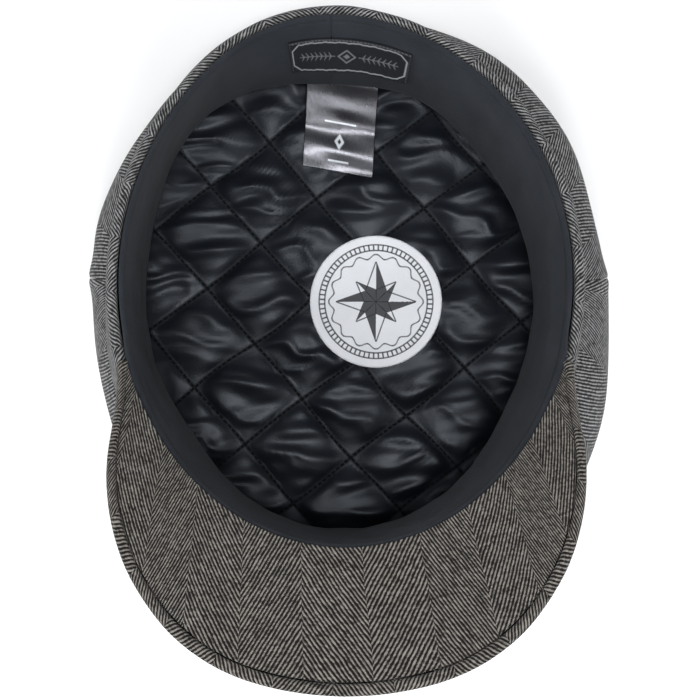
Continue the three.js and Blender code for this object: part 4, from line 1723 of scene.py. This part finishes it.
@dataclass(frozen=True)
class SizeLabel:
    """The satin ribbon that hangs from under the sweatband onto the lining.

    The fall is a share of its length and a share of its drop at each of a few marks.
    """

    band: Sweatband = field(default_factory=Sweatband)
    width: float = 28.4
    length: float = 36
    cloth: float = 0.8
    middle_x: float = -3
    lean: float = np.radians(3.5)
    slant: float = np.radians(9.9)
    tuck: float = 2.2
    floor: float = 5.8
    fall: tuple[tuple[float, float], ...] = (
        (0.0, 0.0),
        (0.12, 0.3),
        (0.3, 0.68),
        (0.5, 0.92),
        (0.7, 1.0),
        (1.0, 1.0),
    )
    fall_rounding: int = 9
    wave_height: float = 0.85
    small_wave_height: float = 0.1
    hollow: float = 0.0036
    rows: int = 120
    columns: int = 90
    mark_place: float = 24
    bars: tuple[tuple[float, float], ...] = ((16.5, 6.5), (32.0, 4.0))

    def drawing(self, x: np.ndarray, y: np.ndarray) -> np.ndarray:
        """How light a place is: a small lozenge and two short bars, as a plain care mark.

        Args:
            x: millimetres from the middle, across the ribbon.
            y: millimetres up from its top end, so that the ribbon lies below nought.

        Returns:
            A share from nought to one.
        """
        lozenge = np.abs(x) / 2.2 + np.abs(y + self.mark_place) / 3.6
        mark = (1 - smooth_step(0.85, 1.0, lozenge)) * smooth_step(0.25, 0.4, lozenge)
        bars = [
            (1 - smooth_step(0.25, 0.45, np.abs(y + place))) * (np.abs(x) < half)
            for place, half in self.bars
        ]
        return np.maximum.reduce([mark, *bars])

    def build(self, look: bpy.types.Material) -> None:
        """Lays the ribbon down its fall, with soft waves across it.

        The fall is evened out by the mean of neighbouring rows. Each wave is a sine of the
        share of the length that slants a little across the ribbon, and both grow to their
        height below the sweatband. The ribbon is hollow across as a parabola.

        Args:
            look: its material.
        """
        edge = self.band.point(np.array(QUARTER), np.array(self.band.width), np.array(0.0))
        start = edge[2] - FORM.clearance - self.cloth
        along, drop = np.array(self.fall).T
        share = np.linspace(0, 1, self.rows)[:, None]
        across = np.linspace(-0.5, 0.5, self.columns)[None, :] * self.width
        fall = np.pad(np.interp(share[:, 0], along, drop), self.fall_rounding, mode="edge")
        neighbours = 2 * self.fall_rounding + 1
        fall = np.convolve(fall, np.ones(neighbours) / neighbours, "valid")[:, None]
        y = edge[1] + self.tuck - share * self.length
        x = self.middle_x + across - (edge[1] - y) * np.tan(self.lean)
        loose = smooth_step(0.12, 0.4, share)
        wave = self.wave_height * np.sin(share * 12.5 + across * 0.02 + 4.6) * loose
        wave = wave + self.small_wave_height * np.sin(share * 27 - across * 0.16) * loose
        wave = wave + self.hollow * across**2 * smooth_step(0.2, 1, share)
        z = blend(start, self.floor + 0.9, fall) + wave
        low = np.stack(np.broadcast_arrays(x, y - across * np.tan(self.slant), z), -1)
        high = low + np.array([0, 0, self.cloth * 0.7])
        flat = np.stack(np.broadcast_arrays(across, -share * self.length), -1)
        skin = Skin()
        skin.shell(high, low, flat, closed=False, mark=self.drawing(flat[..., 0], flat[..., 1]))
        piece = skin.build("size_label_ribbon")
        finish_piece(piece, Slot.RIBBON, look, "size_label")


# Camera, light and floor


@dataclass(frozen=True)
class Studio:
    """A camera straight above, a pale floor and soft light."""

    camera_y: float = -0.0165
    camera_height: float = 0.7
    lens: float = 87.43
    floor_half: float = 3.0
    floor_drop: float = 0.0003
    floor_colour: Colour = (0.95, 0.95, 0.95)
    lamps_aim: Place = (0.0, 0.0, 0.05)
    sky_white: Colour = (1.0, 1.0, 1.0)
    sky_dim: Colour = (0.24, 0.25, 0.27)

    def camera(self) -> None:
        """Places the camera, looking straight down."""
        data = bpy.data.cameras.new("camera")
        data.lens, data.sensor_width = self.lens, 36.0
        made = add_object("camera", data)
        made.location = (0, self.camera_y, self.camera_height)
        bpy.context.scene.camera = made

    def floor(self) -> None:
        """Lays the floor."""
        half = self.floor_half
        corners = [(-half, -half), (half, -half), (half, half), (-half, half)]
        mesh = bpy.data.meshes.new("floor")
        mesh.from_pydata([(x, y, -self.floor_drop) for x, y in corners], [], [(0, 1, 2, 3)])
        sockets = {"Roughness": 0.85, "Base_Color": (*self.floor_colour, 1.0)}
        look, _, _ = start_material("pale_floor", **sockets)
        mesh.materials.append(look)
        add_object("floor", mesh)

    def lamp(self, name: str, place: Place, size: float, watts: float) -> None:
        """Hangs a soft square lamp that points at the cap.

        Args:
            name: its name.
            place: where it hangs, in metres.
            size: the length of its side in metres.
            watts: its power.
        """
        data = bpy.data.lights.new(name, "AREA")
        data.shape, data.size, data.energy = "SQUARE", size, watts
        made = add_object(name, data)
        made.location = place
        heading = Vector(self.lamps_aim) - Vector(place)
        made.rotation_euler = heading.to_track_quat("-Z", "Y").to_euler()

    def sky(self) -> None:
        """Surrounds the scene with white that dims towards the top and the back."""
        world = bpy.data.worlds.new("studio")
        bpy.context.scene.world = world
        world.use_nodes = True
        graph = Graph(world.node_tree)
        _, back, up = graph.split(graph.node("TexCoord").outputs["Generated"])
        behind = graph.math("MULTIPLY", graph.step(0.0, 0.8, back), 0.6)
        share = graph.math("MAXIMUM", graph.step(0.1, 0.62, up), behind)
        background = world.node_tree.nodes["Background"]
        colour = graph.mix(share, self.sky_white, self.sky_dim)
        graph.put(background.inputs["Color"], colour)

    def build(self) -> None:
        """Sets up everything that isn't the cap."""
        self.camera()
        self.floor()
        self.lamp("top_lamp", (0.04, -0.1, 1.65), 0.4, 15)
        self.lamp("front_lamp", (0.1, -1.15, 1.05), 0.6, 12)
        self.lamp("right_lamp", (1.3, 0.1, 1.0), 0.7, 3.5)
        self.lamp("left_lamp", (-1.3, 0.1, 1.0), 0.7, 8)
        self.sky()
        bpy.context.scene.view_settings.view_transform = "Standard"


def main() -> None:
    """Builds the cap part by part around the frame."""
    logging.basicConfig(level=logging.INFO, format="%(message)s")
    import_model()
    for given in list(bpy.data.objects):
        if given.type in {"LIGHT", "CAMERA"} or given.name == "Cube":
            bpy.data.objects.remove(given)
    Studio().build()
    weaves = Weaves()
    greys = {"light": (0.3, 0.3, 0.302), "dark": (0.0165, 0.0165, 0.0175)}
    wool = WoolFinish("wool_headband", lean=0.75, pitch=1.75, **greys).material(weaves)
    back_wool = WoolFinish("wool_crown_back", column=23, **greys).material(weaves)
    front_wool = WoolFinish("wool_crown_front", column=31, **greys).material(weaves)
    visor_wool = WoolFinish("wool_visor", column=Visor.column).material(weaves)
    cotton = CottonFinish().material(weaves)
    Crown().build(back_wool, front_wool)
    Headband().build(wool)
    Visor().build(visor_wool)
    Sweatband().build(cotton)
    Quilt().build(QuiltFinish().material())
    white, dark_line = (0.92, 0.94, 0.98), (0.012, 0.013, 0.017)
    badge_look = PrintedFinish("white_badge", white, dark_line, roughness=0.75)
    Badge().build(badge_look.material(weaves))
    black, silver = (0.0085, 0.0095, 0.0125), (0.24, 0.25, 0.265)
    woven_look = PrintedFinish(
        "woven_label", black, silver, roughness=0.6, threads=3.4, relief=0.12
    )
    WovenLabel().build(woven_look.material(weaves))
    SizeLabel().build(RibbonFinish().material())


if __name__ == "__main__":
    main()
